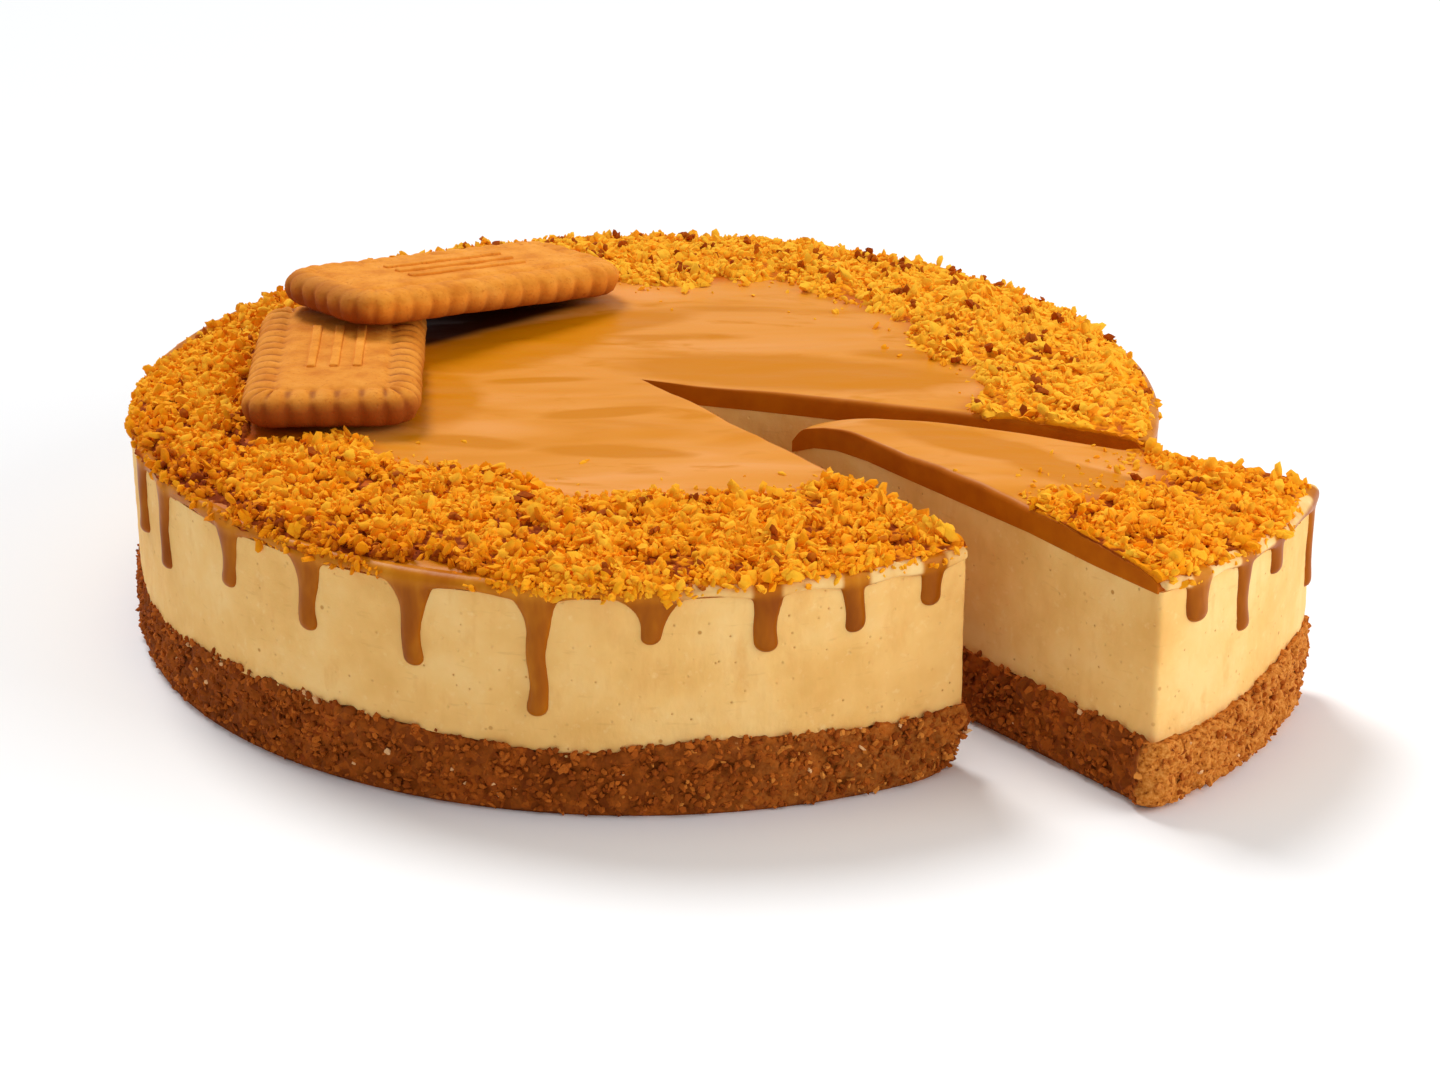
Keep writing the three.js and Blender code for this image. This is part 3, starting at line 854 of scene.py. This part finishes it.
# The lip and the drips: simple shapes laid into each other, then melted together by a remesh
lip = {
    "section": (
        (87.6, 39.1), (89.4, 39.3), (90.5, 38.8), (91.0, 37.9), (90.9, 37.0), (90.4, 36.5), (89.4, 36.9),
        (88, 37.6),
    ),
    "turnStep": 1.0,
    "endGap": 0.006,
    "voxel": 0.36,
    # Towards the right the rim is bare set cream, between these angles and down to this height
    "pale": (-88, -82, -14, -6),
    "paleFrom": (-44, -50),
    "paleAbove": (36.2, 37.0),
    # The drips keep their brown up to the crumbs, so many degrees to each side
    "brownDrip": (1.2, 1.8),
    # The lip is lighter above these heights: thinner glaze over the cream, and painted sheen
    "thinAbove": (35.8, 38.4),
    # The lower edge is high between the drips and low beside them
    "arch": 1.0,
    "archWidth": 4.2,
    "wave": 0.3,
    # The lip hardly stands out at the left
    "leftLoss": 0.75,
}
drips = {
    "width": 3.9,
    "depth": 0.8,
    "head": 38,
    "neck": 0.82,
    "flareLength": 1.5,
    "inside": 0.35,
    "sway": 0.25,
    # Angle, height of the foot, share of the width and how much wider the drip is at its top
    "main": [
        (-159.5, 24.4, 1, 1.7), (-151.4, 22.6, 1, 1.8), (-137.1, 26.8, 1, 2), (-125.3, 24.6, 1, 2.4),
        (-112.7, 22.8, 1, 3), (-99.5, 16.6, 1, 2.8), (-88.1, 29.3, 0.8, 5.2), (-76.7, 27.1, 1.08, 1.6),
        (-67.5, 28.5, 1, 1.3), (-58.6, 30.4, 1, 1.5),
    ],
    "slice": [(-46.5, 29.8, 1.23, 1.5), (-38.5, 24.1, 1, 1.5), (-31.3, 30.2, 1, 1.5), (-18.2, 20, 0.87, 1.5)],
    "far": {"from": -8, "to": 180, "count": 16, "foot": (19, 30), "width": (3.4, 4.4), "seed": 11},
}


# The same draw as the source's own: a plain congruential one
def drawer(seed):
    state = seed
    while True:
        state = (state * 1664525 + 1013904223) % 4294967296
        yield state / 4294967296


def farDrips():
    far = drips["far"]
    draw = drawer(far["seed"])
    found = []
    for i in range(far["count"]):
        share = (i - 0.25 + 0.5 * next(draw)) / (far["count"] - 1)
        angle = far["from"] + (far["to"] - far["from"]) * share
        foot, width = (low + (high - low) * next(draw) for low, high in (far["foot"], far["width"]))
        found.append((angle, foot, width / drips["width"], 1.5))
    return found


def lipWave(turn, listed):
    wave = lip["wave"] * (0.65 * np.cos(9 * turn + 0.6) + 0.35 * np.cos(17 * turn + 2))
    away = [abs(math.remainder(turn - math.radians(one[0]), 2 * math.pi)) for one in listed]
    return wave + lip["arch"] * (1 - 1.3 * math.exp(-((math.degrees(min(away)) / lip["archWidth"]) ** 2)))


def addLipRing(part, listed):
    start, end = rimAngles(part)
    start += lip["endGap"]
    end -= lip["endGap"]
    steps = int(math.degrees(end - start) / lip["turnStep"])
    section = np.array(lip["section"])
    rings = []
    for turn in np.linspace(start, end, steps):
        r = section[:, 0]
        sunk = settling(r, turn + 0 * r, part)
        low = smoothStep(38.5, 36.5, section[:, 1])
        r = np.where(r > 90, r - (r - 90) * lip["leftLoss"] * leftShare(turn), r)
        z = section[:, 1] + low * lipWave(turn, listed) - cake["fillingSinks"] * sunk
        rings.append(roundCake(r, turn, z))
    return drawnUp("lipRing", rings)


def addDrip(part, angle, foot, wider, funnel):
    half = drips["width"] * wider / 2
    piece = begin(bpy.ops.mesh.primitive_uv_sphere_add, "drip", segments=20, ring_count=26, radius=1)
    points = readPoints(piece) / 1000
    turn = math.radians(angle)
    head = drips["head"] - cake["fillingSinks"] * settling(cake["radius"], turn, part)
    share = (1 + points[:, 2]) / 2
    around = polar(points)[1]
    height = foot + (head - foot) * share
    bulb = np.sqrt(np.clip(1 - (1 - np.clip((height - foot) / (0.9 * half), 0, 1)) ** 2, 0, 1))
    neck = drips["neck"] + (1 - drips["neck"]) * np.exp(-((height - foot) / (1.6 * half)) ** 2)
    flare = (funnel - drips["neck"]) * np.exp(-(head - height) / (drips["flareLength"] * half))
    cap = np.where(share > 0.999, 0, 1)
    wide = half * bulb * (neck + flare) * cap
    deep = half * drips["depth"] * bulb * neck * cap
    x = cake["radius"] - drips["inside"] + deep * np.cos(around)
    y = wide * np.sin(around) + drips["sway"] * np.sin(height * 0.6 + angle)
    points[:, 0] = x * math.cos(turn) - y * math.sin(turn)
    points[:, 1] = x * math.sin(turn) + y * math.cos(turn)
    points[:, 2] = height
    writePoints(piece, points)
    return piece


def addDrips(part, listed, node):
    pieces = [addLipRing(part, listed)] + [addDrip(part, *one) for one in listed]
    piece = joinPieces(pieces, f"{part['name']}Drips")
    remesh = piece.modifiers.new("melt", "REMESH")
    remesh.mode = "VOXEL"
    remesh.voxel_size = lip["voxel"] / 1000
    soften = piece.modifiers.new("soften", "SMOOTH")
    soften.factor = 0.5
    soften.iterations = 6
    applyAll(piece)
    points = readPoints(piece)
    angle = np.degrees(polar(points)[1])
    right = window(angle, *lip["pale"])
    for middle, *_ in listed:
        right *= smoothStep(*lip["brownDrip"], np.abs(angle - middle))
    if not part["slice"]:
        right *= smoothStep(*lip["paleFrom"], angle)
    addLayer(piece, "pale", right * smoothStep(*lip["paleAbove"], points[:, 2]))
    # Lighter towards the top of the lip: thinner glaze, and painted sheen
    addLayer(piece, "thin", smoothStep(*lip["thinAbove"], points[:, 2]))
    shade(piece, 80)
    settle(piece, part, "caramel", dripping, node)


addDrips(mainPart, drips["main"] + farDrips(), "caramel")
addDrips(slicePart, drips["slice"], "slice_caramel")


def underBiscuit(part, x, y, grow):
    hidden = np.zeros(len(x), bool)
    for place in () if part["slice"] else (biscuits["front"], biscuits["back"]):
        along, across = np.abs(turnedAxes(x, y, place["centre"], place["yaw"]))
        hidden |= (along < biscuits["length"] / 2 + grow) & (across < biscuits["width"] / 2 + grow)
    return hidden


# How far points lie inside a part's two cuts
def insideCuts(part, x, y):
    pastFirst = turnedAxes(x, y, part["apex"], part["from"])[1]
    beforeLast = -turnedAxes(x, y, part["apex"], part["to"])[1]
    return np.minimum(pastFirst, beforeLast) if part["slice"] else np.maximum(pastFirst, beforeLast)


# The bed: crumbs that have run together, one lumpy sheet that sinks into the spread at its edges
crumbBed = {
    "turnStep": 0.37,
    "ringStep": 0.44,
    "inner": 47,
    "rim": 90.3,
    "lift": 0.7,
    "sink": 1.9,
    "rimSink": 0.9,
    "underBiscuit": 1.6,
    # The unevenness of its edges, and how much of it each edge takes
    "wobbles": ((7, 3.0), (2.3, 1.8)),
    "outerEdge": (89.0, 90.5, 0.3),
    "innerEdge": (-4, 4, 1.6),
    # The sheet's last rows, where it turns back under itself: radius and depth
    "closedAt": ((88.4, 1.5), (47.5, 1.8)),
    # How far the bed is drawn in from the rim
    "drawnIn": {"nearLedge": -0.4, "right": 1.2},
    "relief": (("CLOUDS", 7, 1.3), ("VORONOI", 2.4, -0.8), ("CLOUDS", 1.3, 1.5)),
    # On the far side the bed and the crumbs on it are brighter
    "farTint": {"main": 0.22, "slice": 0.05},
    "farCrumbs": {"main": 1, "slice": 0.1},
    # Crumbs lie where the bed covers more than this and as far inside the cuts, fewer at the back
    "crumbsFrom": 0.55,
    "offCuts": 0.6,
    "farFewer": 0.55,
}
bedSpots = []


def bedCover(points, part):
    radius, angle = polar(points)
    wobble = 0
    for size, amount in crumbBed["wobbles"]:
        wobble += amount * waveNoise(points * (1, 1, 0), (size, size, 1), 5.2 + size)
    pads = padDepth(angle, part)
    for name, depth in crumbBed["drawnIn"].items():
        pads = pads + depth * rimShare(name, angle)
    start, end, uneven = crumbBed["outerEdge"]
    outer = 1 - smoothStep(start, end, radius + uneven * wobble + pads)
    start, end, uneven = crumbBed["innerEdge"]
    edge = bandEdge(angle)
    return smoothStep(edge + start, edge + end, radius + uneven * wobble) * outer


# Crumbs over the glaze at the left have drawn it in and are darker; beside the front biscuit's left side the
# bed and its crumbs get painted shade
soakedAndShaded = {
    "atRim": 0.36,
    "beside": 0.5,
    "besideFrom": (-69.2, -0.061),
    "across": (-2, 0, 2.4, 5),
    "along": (-33, -29, 18, 27),
}


def soakAndShade(radius, angle, part):
    y = radius * np.sin(angle)
    x, slope = soakedAndShaded["besideFrom"]
    away = x + slope * y - radius * np.cos(angle)
    # Painted shade in a strip beside the front biscuit's left side
    beside = window(away, *soakedAndShaded["across"]) * window(y, *soakedAndShaded["along"])
    atRim = rimShare("left", angle) * smoothStep(81, 87, radius)
    return (not part["slice"]) * np.maximum(soakedAndShaded["atRim"] * atRim, soakedAndShaded["beside"] * beside)


def addBed(part, node):
    rim = crumbBed["rim"]
    turns = fanTurns(part, crumbBed["turnStep"])
    rows = np.arange(crumbBed["inner"], rim, crumbBed["ringStep"])
    levels = [(r, 0) for r in rows] + list(crumbBed["closedAt"])
    piece = gridSheet(f"{part['name']}CrumbBed", len(levels), len(turns))
    points = fanPoints(part, turns, fanReach(part, turns, [r for r, _ in levels], rim))
    radius, angle = polar(points)
    cover = bedCover(points, part)
    under = np.repeat([depth for _, depth in levels], len(turns))
    hidden = underBiscuit(part, points[:, 0], points[:, 1], -0.6)
    sink = crumbBed["sink"] - crumbBed["rimSink"] * smoothStep(80, 86, radius)
    low = np.where(hidden, crumbBed["underBiscuit"], 0) + sink * (1 - cover)
    points[:, 2] = caramelTop(radius, angle, part) + crumbBed["lift"] - np.where(under > 0, under, low)
    base = points[:, 2].copy()
    writePoints(piece, points)
    roughen(piece, crumbBed["relief"])
    points = readPoints(piece)
    relief = points[:, 2] - base
    lowest, highest = np.percentile(relief, (4, 96))
    share = np.clip((relief - lowest) / (highest - lowest), 0, 1)
    far = rimShare("far", angle)
    # Painted shade: the bed is darker in its hollows and lighter on its heights
    tint = 0.02 + 0.4 * smoothStep(0.2, 0.5, share) + 0.22 * share + crumbBed["farTint"][part["name"]] * far
    # Drawn-in glaze at the left, and painted shade beside the front biscuit
    tint -= soakAndShade(radius, angle, part)
    addLayer(piece, "tint", np.clip(tint, 0, 1))
    x, y = points[:, 0], points[:, 1]
    free = (cover > crumbBed["crumbsFrom"]) & (under == 0) & ~underBiscuit(part, x, y, 0.6)
    free &= insideCuts(part, x, y) > crumbBed["offCuts"]
    # Crumbs gather on the heights
    weight = (0.04 + smoothStep(0.3, 0.55, share)) * (1 - crumbBed["farFewer"] * far)
    brighter = far * crumbBed["farCrumbs"][part["name"]]
    spots = np.column_stack([points, share, tint, weight, brighter])[free]
    spots[:, :2] += part["shift"]
    bedSpots.append(spots)
    closeSheet(piece, len(turns))
    shade(piece, 75)
    settle(piece, part, "caramel", golden, node)


# Crumbs: a few lumps modelled once for each kind, then copied with a turn, a size and a tint of their own.
# They are lifted by a share of their size, and toasted ones gather on the far side
crumbKinds = {
    "dust": {"lumps": 1, "size": (0.3, 0.55), "tint": (0.5, 1.0), "long": 1.3, "rise": 0.1, "far": 0},
    "fine": {"lumps": 1, "size": (0.5, 0.9), "tint": (0.45, 1.0), "long": 1.5, "rise": 0.1, "far": 0},
    "shred": {"lumps": 2, "size": (0.85, 1.5), "tint": (0.35, 0.95), "long": 1.5, "rise": 0, "far": 0},
    "flake": {"lumps": 3, "size": (1.2, 2.2), "tint": (0.4, 1.0), "long": 1.3, "rise": -0.15, "far": 0},
    "toasted": {"lumps": 2, "size": (0.8, 1.8), "tint": (0.06, 0.2), "long": 1.2, "rise": 0.3, "far": 3},
}
# How many lie on the bed, lie loose on the bare spread and hang on the lip
crumbCounts = {
    "dust": (5000, 260, 500),
    "fine": (5200, 90, 650),
    "shred": (3500, 24, 380),
    "flake": (2300, 0, 100),
    "toasted": (210, 0, 16),
}
crumbForm = {
    "shapes": 7,
    "push": (0.6, 1.3),
    "lumpShare": (0.5, 0.72),
    "apart": 0.0016,
    "stretch": ((0.8, 0.6, 0.46), (1.12, 0.93, 0.76)),
    "smooth": 58,
    "jitter": 0.2,
    # Crumbs are brighter on the far side, and get painted shade where the bed's own tint, low in its hollows,
    # is below this
    "brighter": 0.3,
    "darker": 0.8,
    "darkBelow": 0.42,
    # Only low ones are darkened, each by a share of its own: drawn-in glaze at the left, painted shade beside
    # the front biscuit
    "soakedBelow": 40.5,
    "soakedShare": (0.2, 1.3),
}


# Each shape is one to three uneven lumps that run into each other
def crumbShapes(lumpCount, random):
    shapes = []
    for _ in range(crumbForm["shapes"]):
        lumps = []
        for number in range(lumpCount):
            share = 1 if lumpCount == 1 else random.uniform(*crumbForm["lumpShare"])
            place = Vector(random.uniform(-0.5, 0.5, 3)) * (crumbForm["apart"] if number else 0)
            ball = {"subdivisions": 1, "radius": 0.001 * share, "location": place}
            lump = begin(bpy.ops.mesh.primitive_ico_sphere_add, "lump", **ball)
            points = readPoints(lump)
            middle = points.mean(0)
            push = random.uniform(*crumbForm["push"], len(points))
            writePoints(lump, middle + (points - middle) * push[:, None])
            lumps.append(lump)
        piece = joinPieces(lumps, "crumbShape")
        triangles = np.array([face.vertices[:] for face in piece.data.polygons])
        shapes.append((readPoints(piece), triangles))
        bpy.data.objects.remove(piece)
    return shapes


def turned(count, random):
    spins = random.normal(size=(count, 4))
    spins /= np.linalg.norm(spins, axis=1)[:, None]
    w, x, y, z = spins.T
    return np.stack([
        np.stack([1 - 2 * (y * y + z * z), 2 * (x * y - z * w), 2 * (x * z + y * w)], 1),
        np.stack([2 * (x * y + z * w), 1 - 2 * (x * x + z * z), 2 * (y * z - x * w)], 1),
        np.stack([2 * (x * z - y * w), 2 * (y * z + x * w), 1 - 2 * (x * x + y * y)], 1),
    ], 1)


def scatter(name, kind, places, sizes, tints, smooth, random):
    shapes = crumbShapes(kind["lumps"], random)
    spins = turned(len(places), random)
    stretch = random.uniform(*crumbForm["stretch"], (len(places), 3)) * (kind["long"], 1, 1)
    allPoints = []
    allFaces = []
    allTints = []
    start = 0
    choice = random.integers(0, len(shapes), len(places))
    for number, (points, triangles) in enumerate(shapes):
        chosen = np.nonzero(choice == number)[0]
        body = np.einsum("kij,kpj->kpi", spins[chosen], points[None] * stretch[chosen][:, None, :])
        body = body * sizes[chosen][:, None, None] + places[chosen][:, None, :]
        allPoints.append(body.reshape(-1, 3))
        starts = start + np.arange(len(chosen)) * len(points)
        allFaces.append((triangles[None] + starts[:, None, None]).reshape(-1, 3))
        allTints.append(np.repeat(tints[chosen], len(points)))
        start += len(chosen) * len(points)
    mesh = bpy.data.meshes.new(name)
    mesh.from_pydata(np.concatenate(allPoints) / 1000, [], np.concatenate(allFaces))
    piece = bpy.data.objects.new(name, mesh)
    bpy.context.scene.collection.objects.link(piece)
    addLayer(piece, "tint", np.concatenate(allTints))
    shade(piece, smooth)
    return piece


addBed(mainPart, "caramel")
addBed(slicePart, "slice_caramel")
spots = np.concatenate(bedSpots)
print(len(spots), "places on the beds")


# Loose crumbs on the bare spread, most of them near the band
looseCrumbs = {"tries": 60, "between": (36, 62), "fade": 4, "offCuts": 0.8, "shares": (0.7, 0.3)}


def loosePlaces(count, random):
    found = []
    near, far = looseCrumbs["between"]
    tries = count * looseCrumbs["tries"]
    for part, share in zip((mainPart, slicePart), looseCrumbs["shares"]):
        radius = np.sqrt(random.uniform(near**2, far**2, tries))
        angle = random.uniform(-math.pi, math.pi, tries)
        points = roundCake(radius, angle, 0 * radius)
        x, y = points[:, 0], points[:, 1]
        kept = random.uniform(0, 1, tries) < np.exp((radius - bandEdge(angle)) / looseCrumbs["fade"])
        kept &= (insideCuts(part, x, y) > looseCrumbs["offCuts"]) & ~underBiscuit(part, x, y, 0.6)
        points = points[kept][: int(count * share)]
        radius, angle = polar(points)
        points[:, 2] = caramelTop(radius, angle, part) + spreadRelief(points, part)
        points[:, :2] += part["shift"]
        found.append(points)
    return np.concatenate(found)


# Crumbs that hang on the lip, fewer where the ledge is bare, and drawn in at the left and right
hangingCrumbs = {
    "shares": (0.9, 0.1),
    "radius": 90.5,
    "outward": 0.3,
    "drawnLeft": 1.1,
    "drawnRight": 1.5,
    "top": 39.2,
    "fall": 1.7,
    "bare": 0.85,
    "padDepth": 2.6,
    "smaller": 0.85,
}


def hangingPlaces(count, random):
    found = []
    for part, share in zip((mainPart, slicePart), hangingCrumbs["shares"]):
        start, end = rimAngles(part)
        angle = random.uniform(start + 0.01, end - 0.01, int(count * share * 2))
        angle = np.arctan2(np.sin(angle), np.cos(angle))
        chance = 1 - hangingCrumbs["bare"] * rimShare("bareLedge", angle)
        chance *= 1 - padDepth(angle, part) / hangingCrumbs["padDepth"]
        angle = angle[random.uniform(0, 1, len(angle)) < chance]
        fall = random.uniform(0, 1, len(angle)) ** 1.5
        radius = hangingCrumbs["radius"] + hangingCrumbs["outward"] * fall
        radius -= hangingCrumbs["drawnLeft"] * leftShare(angle)
        radius -= hangingCrumbs["drawnRight"] * rimShare("farRight", angle)
        height = hangingCrumbs["top"] - hangingCrumbs["fall"] * fall
        height -= cake["fillingSinks"] * settling(radius, angle, part)
        points = roundCake(radius, angle, height)
        points[:, :2] += part["shift"]
        found.append(points)
    return np.concatenate(found)


def addCrumbs(name, kind, seed):
    random = np.random.default_rng(seed)
    onBed, onSpread, onLip = crumbCounts[name]
    weights = spots[:, 5] * (1 + kind["far"] * spots[:, 6])
    chosen = spots[random.choice(len(spots), onBed, p=weights / weights.sum())]
    others = np.concatenate([loosePlaces(onSpread, random), hangingPlaces(onLip, random)])
    jitter = random.uniform(-crumbForm["jitter"], crumbForm["jitter"], (onBed, 2))
    places = np.concatenate([np.column_stack([chosen[:, :2] + jitter, chosen[:, 2]]), others])
    sizes = random.uniform(*kind["size"], len(places))
    sizes[onBed:] *= hangingCrumbs["smaller"]
    places[:, 2] += kind["rise"] * sizes
    low, high = kind["tint"]
    # Crumbs high on the bed are lighter and low ones darker: painted shade
    lift = np.concatenate([chosen[:, 3], np.full(len(others), 0.7)])
    tints = low + (high - low) * (0.5 * lift + 0.5 * random.uniform(0, 1, len(places)))
    if name != "toasted":
        dark = crumbForm["darkBelow"]
        # Painted shade for crumbs in the bed's hollows
        hollowShade = np.clip(dark - chosen[:, 4], 0, dark)
        tints[:onBed] += crumbForm["brighter"] * chosen[:, 6] - crumbForm["darker"] * hollowShade
        # Drawn-in glaze at the left, and painted shade beside the front biscuit
        drawnIn = soakAndShade(*polar(places), mainPart) * (places[:, 2] < crumbForm["soakedBelow"])
        tints -= drawnIn * random.uniform(*crumbForm["soakedShare"], len(places))
    tints = np.clip(tints, 0, 1)
    piece = scatter(f"{name}Crumbs", kind, places, sizes, tints, crumbForm["smooth"], random)
    settle(piece, mainPart, "caramel", golden, "caramel", "slice_caramel")


for number, (name, kind) in enumerate(crumbKinds.items()):
    addCrumbs(name, kind, 20 + number)


# Grains of the crust that stand out of its wall
crustGrains = {
    "lumps": 1,
    "size": (0.32, 0.85),
    "count": 9000,
    "shares": (0.8, 0.2),
    "long": 1.2,
    "smooth": 38,
    "level": (0.04, 1.02),
    "out": (-0.55, 0.05),
    "lowest": 0.8,
    # Brown to the middle of the range of tints, golden above it, and a few pale ones at the very end
    "brown": (0, 0.56),
    "golden": (0.6, 0.94),
    "pale": 0.012,
}


def addCrustGrains():
    random = np.random.default_rng(41)
    places = []
    tints = []
    for part, share in zip((mainPart, slicePart), crustGrains["shares"]):
        count = int(crustGrains["count"] * share)
        path = sectorPath(part, crustWall)
        chosen = random.integers(0, len(path), count)
        out = outwardNormals(path)[chosen]
        path = path[chosen]
        height = random.uniform(*crustGrains["level"], count) * crustTop(*polar(path))
        flat = crustWallAt(path, out, height, part) + np.array(part["shift"])
        flat += out * random.uniform(*crustGrains["out"], count)[:, None]
        places.append(np.column_stack([flat, np.maximum(height, crustGrains["lowest"])]))
        brown = random.uniform(*crustGrains["brown"], count)
        golden = random.uniform(*crustGrains["golden"], count)
        isGolden = random.uniform(0, 1, count) < goldenShare(path, part)
        isPale = random.uniform(0, 1, count) < crustGrains["pale"]
        tints.append(np.where(isPale, 1.0, np.where(isGolden, golden, brown)))
    places = np.concatenate(places)
    tints = np.concatenate(tints)
    sizes = random.uniform(*crustGrains["size"], len(places))
    piece = scatter("crustGrains", crustGrains, places, sizes, tints, crustGrains["smooth"], random)
    settle(piece, mainPart, "crust", grainy, "crust", "slice_crust")


addCrustGrains()


# Biscuits: a fluted wall, a ribbed border and a raised panel with three plain bars
biscuitShape = {
    "teeth": 42,
    "steps": 12,
    "scallop": 0.32,
    "rib": 0.26,
    "bars": {"length": 26, "width": 1.6, "proud": 0.4, "sunk": 0.6, "spacing": 4},
    # Inset, height, share of the fluting and share of the ribs, from the underside up to the panel
    "rows": [
        (2.8, 0, 0.2, 0), (1.7, 0.35, 0.5, 0), (0.8, 1.1, 0.8, 0), (0.3, 2.2, 1, 0), (0.1, 3.3, 1, 0),
        (0.15, 4.0, 0.8, 0), (0.4, 4.6, 0.6, 0), (0.8, 5.1, 0.4, 0.1), (1.4, 5.55, 0.25, 0.5),
        (2.1, 5.85, 0.1, 0.9), (2.9, 6.0, 0, 1), (3.7, 6.05, 0, 1), (4.5, 5.95, 0, 1), (5.1, 5.8, 0, 0.8),
        (5.6, 5.85, 0, 0.3), (6.1, 6.15, 0, 0), (6.7, 6.3, 0, 0), (8, 6.3, 0, 0), (10, 6.25, 0, 0),
        (11.5, 6.25, 0, 0), (13, 6.25, 0, 0), (14.2, 6.25, 0, 0),
    ],
    # The end whose side gets painted shade
    "endSpan": (-25, -30.5),
    "relief": (("CLOUDS", 9, 0.5), ("CLOUDS", 1.6, 0.2)),
}
edgePoints = biscuitShape["teeth"] * biscuitShape["steps"]


# The rounded outline at a distance inside the edge: points and the directions that face out
def biscuitOutline(inset, corner):
    across = biscuits["length"] / 2 - corner
    along = biscuits["width"] / 2 - corner
    quarter = corner * math.pi / 2
    lengths = [2 * along, quarter, 2 * across, quarter] * 2
    corners = [(across, along), (-across, along), (-across, -along), (across, -along)]
    points = []
    normals = []
    for station in np.linspace(0, sum(lengths), edgePoints, endpoint=False):
        leg = 0
        while station > lengths[leg]:
            station -= lengths[leg]
            leg += 1
        turn = leg // 2 * math.pi / 2
        middle = np.array(corners[leg // 2], float)
        if leg % 2:
            turn += station / corner
        else:
            middle -= np.array([-math.sin(turn), math.cos(turn)]) * (lengths[leg] - station)
        points.append(middle)
        normals.append(heading(turn))
    inner = max(corner - inset, 0.4)
    shrink = max(inset - corner + 0.4, 0)
    narrowed = np.array(points) * [(across - shrink) / across, (along - shrink) / along]
    return narrowed + np.array(normals) * inner


def addBiscuit(name, which, node):
    place = biscuits[which]
    foot, footLow, footHigh, dark, overall = biscuits["toast"][which]
    # Broad ribs with narrower grooves between them
    wave = np.cos(np.arange(edgePoints) * 2 * math.pi / biscuitShape["steps"])
    rib = 1 - 2 * ((1 - wave) / 2) ** 1.8
    groove = np.clip(-rib, 0, 1)
    rings = []
    toast = []
    for inset, height, fluted, across in biscuitShape["rows"]:
        ribbed = across * biscuits["ribbing"][which]
        outline = biscuitOutline(inset, biscuits["corner"][which])
        flat = outline + outwardNormals(outline) * (rib * biscuitShape["scallop"] * fluted)[:, None]
        rings.append(np.column_stack([flat, height + rib * biscuitShape["rib"] * ribbed]))
        # The foot is darker by its bake and by painted shade; the grooves and the end get painted shade
        low = 1 - smoothStep(footLow, footHigh, height)
        end = smoothStep(*biscuitShape["endSpan"], flat[:, 0])
        end *= 1 - biscuits["cleanTop"][which] * smoothStep(4.4, 5.8, height)
        grooved = dark * groove * max(ribbed, 0.6 * fluted)
        toast.append(np.clip(overall + foot * low + grooved + biscuits["darkEnd"][which] * end, 0, 0.98))
    piece = drawnUp(name, rings)
    addLayer(piece, "toast", np.concatenate(toast))
    bars = biscuitShape["bars"]
    middle = biscuits["thickness"] + bars["proud"] / 2 - bars["sunk"] / 2
    size = (bars["length"] / 1000, bars["width"] / 1000, (bars["proud"] + bars["sunk"]) / 1000)
    parts = [piece]
    for offset in (-bars["spacing"], 0, bars["spacing"]):
        block = {"size": 1, "location": (0, offset / 1000, middle / 1000), "scale": size}
        bar = begin(bpy.ops.mesh.primitive_cube_add, "bar", **block)
        edit(bar)
        bpy.ops.mesh.bevel(offset=0.0003, segments=3, affect="EDGES")
        bpy.ops.mesh.subdivide(number_cuts=3)
        done()
        parts.append(bar)
    piece = joinPieces(parts, name)
    roughen(piece, biscuitShape["relief"])
    shade(piece, 50)
    turn = Euler([math.radians(place[key]) for key in ("roll", "pitch", "yaw")], "XYZ").to_matrix().to_4x4()
    piece.data.transform(Matrix.Translation(Vector(place["centre"]) / 1000) @ turn)
    settle(piece, mainPart, "biscuit", baked, node)


addBiscuit("frontBiscuit", "front", "biscuit_front")
addBiscuit("backBiscuit", "back", "biscuit_back")
print("biscuits laid")


# Floor and soft studio light
studio = {
    "floorSize": 6,
    "floorTone": (250, 250, 250),
    "worldTone": (0.95, 0.97, 1.0),
    "worldStrength": 0.5,
    "window": {"at": (-200, 300, 500), "from": (-0.38, 0.62, 0.95), "softness": 24, "strength": 2.0},
    "fill": {"at": (650, -230, 300), "aim": (0, 0, 20), "size": 0.6, "power": 2.8},
}


def addLight(kind, name, at, turn, **settings):
    bpy.ops.object.light_add(type=kind, location=at, rotation=turn.to_euler())
    bpy.context.object.name = name
    for setting, value in settings.items():
        setattr(bpy.context.object.data, setting, value)


def addStudio():
    floor = begin(bpy.ops.mesh.primitive_plane_add, "floor", size=studio["floorSize"])
    matt = {"Base_Color": srgb(*studio["floorTone"]), "Specular_IOR_Level": 0.1}
    newFinish("paleFloor", 0.9, **matt)
    floor.data.materials.append(material)
    world = bpy.data.worlds.new("studio")
    world.use_nodes = True
    background = world.node_tree.nodes["Background"]
    background.inputs["Color"].default_value = (*studio["worldTone"], 1)
    background.inputs["Strength"].default_value = studio["worldStrength"]
    bpy.context.scene.world = world
    sun = studio["window"]
    turn = Vector(sun["from"]).to_track_quat("Z", "Y")
    softly = {"angle": math.radians(sun["softness"]), "energy": sun["strength"]}
    addLight("SUN", "windowLight", inFrame(*sun["at"]), turn, **softly)
    fill = studio["fill"]
    at = inFrame(*fill["at"])
    turn = (inFrame(*fill["aim"]) - at).to_track_quat("-Z", "Y")
    addLight("AREA", "fillLight", at, turn, size=fill["size"], energy=fill["power"])


addStudio()
bpy.context.scene.view_settings.view_transform = "Standard"
print("studio lit")
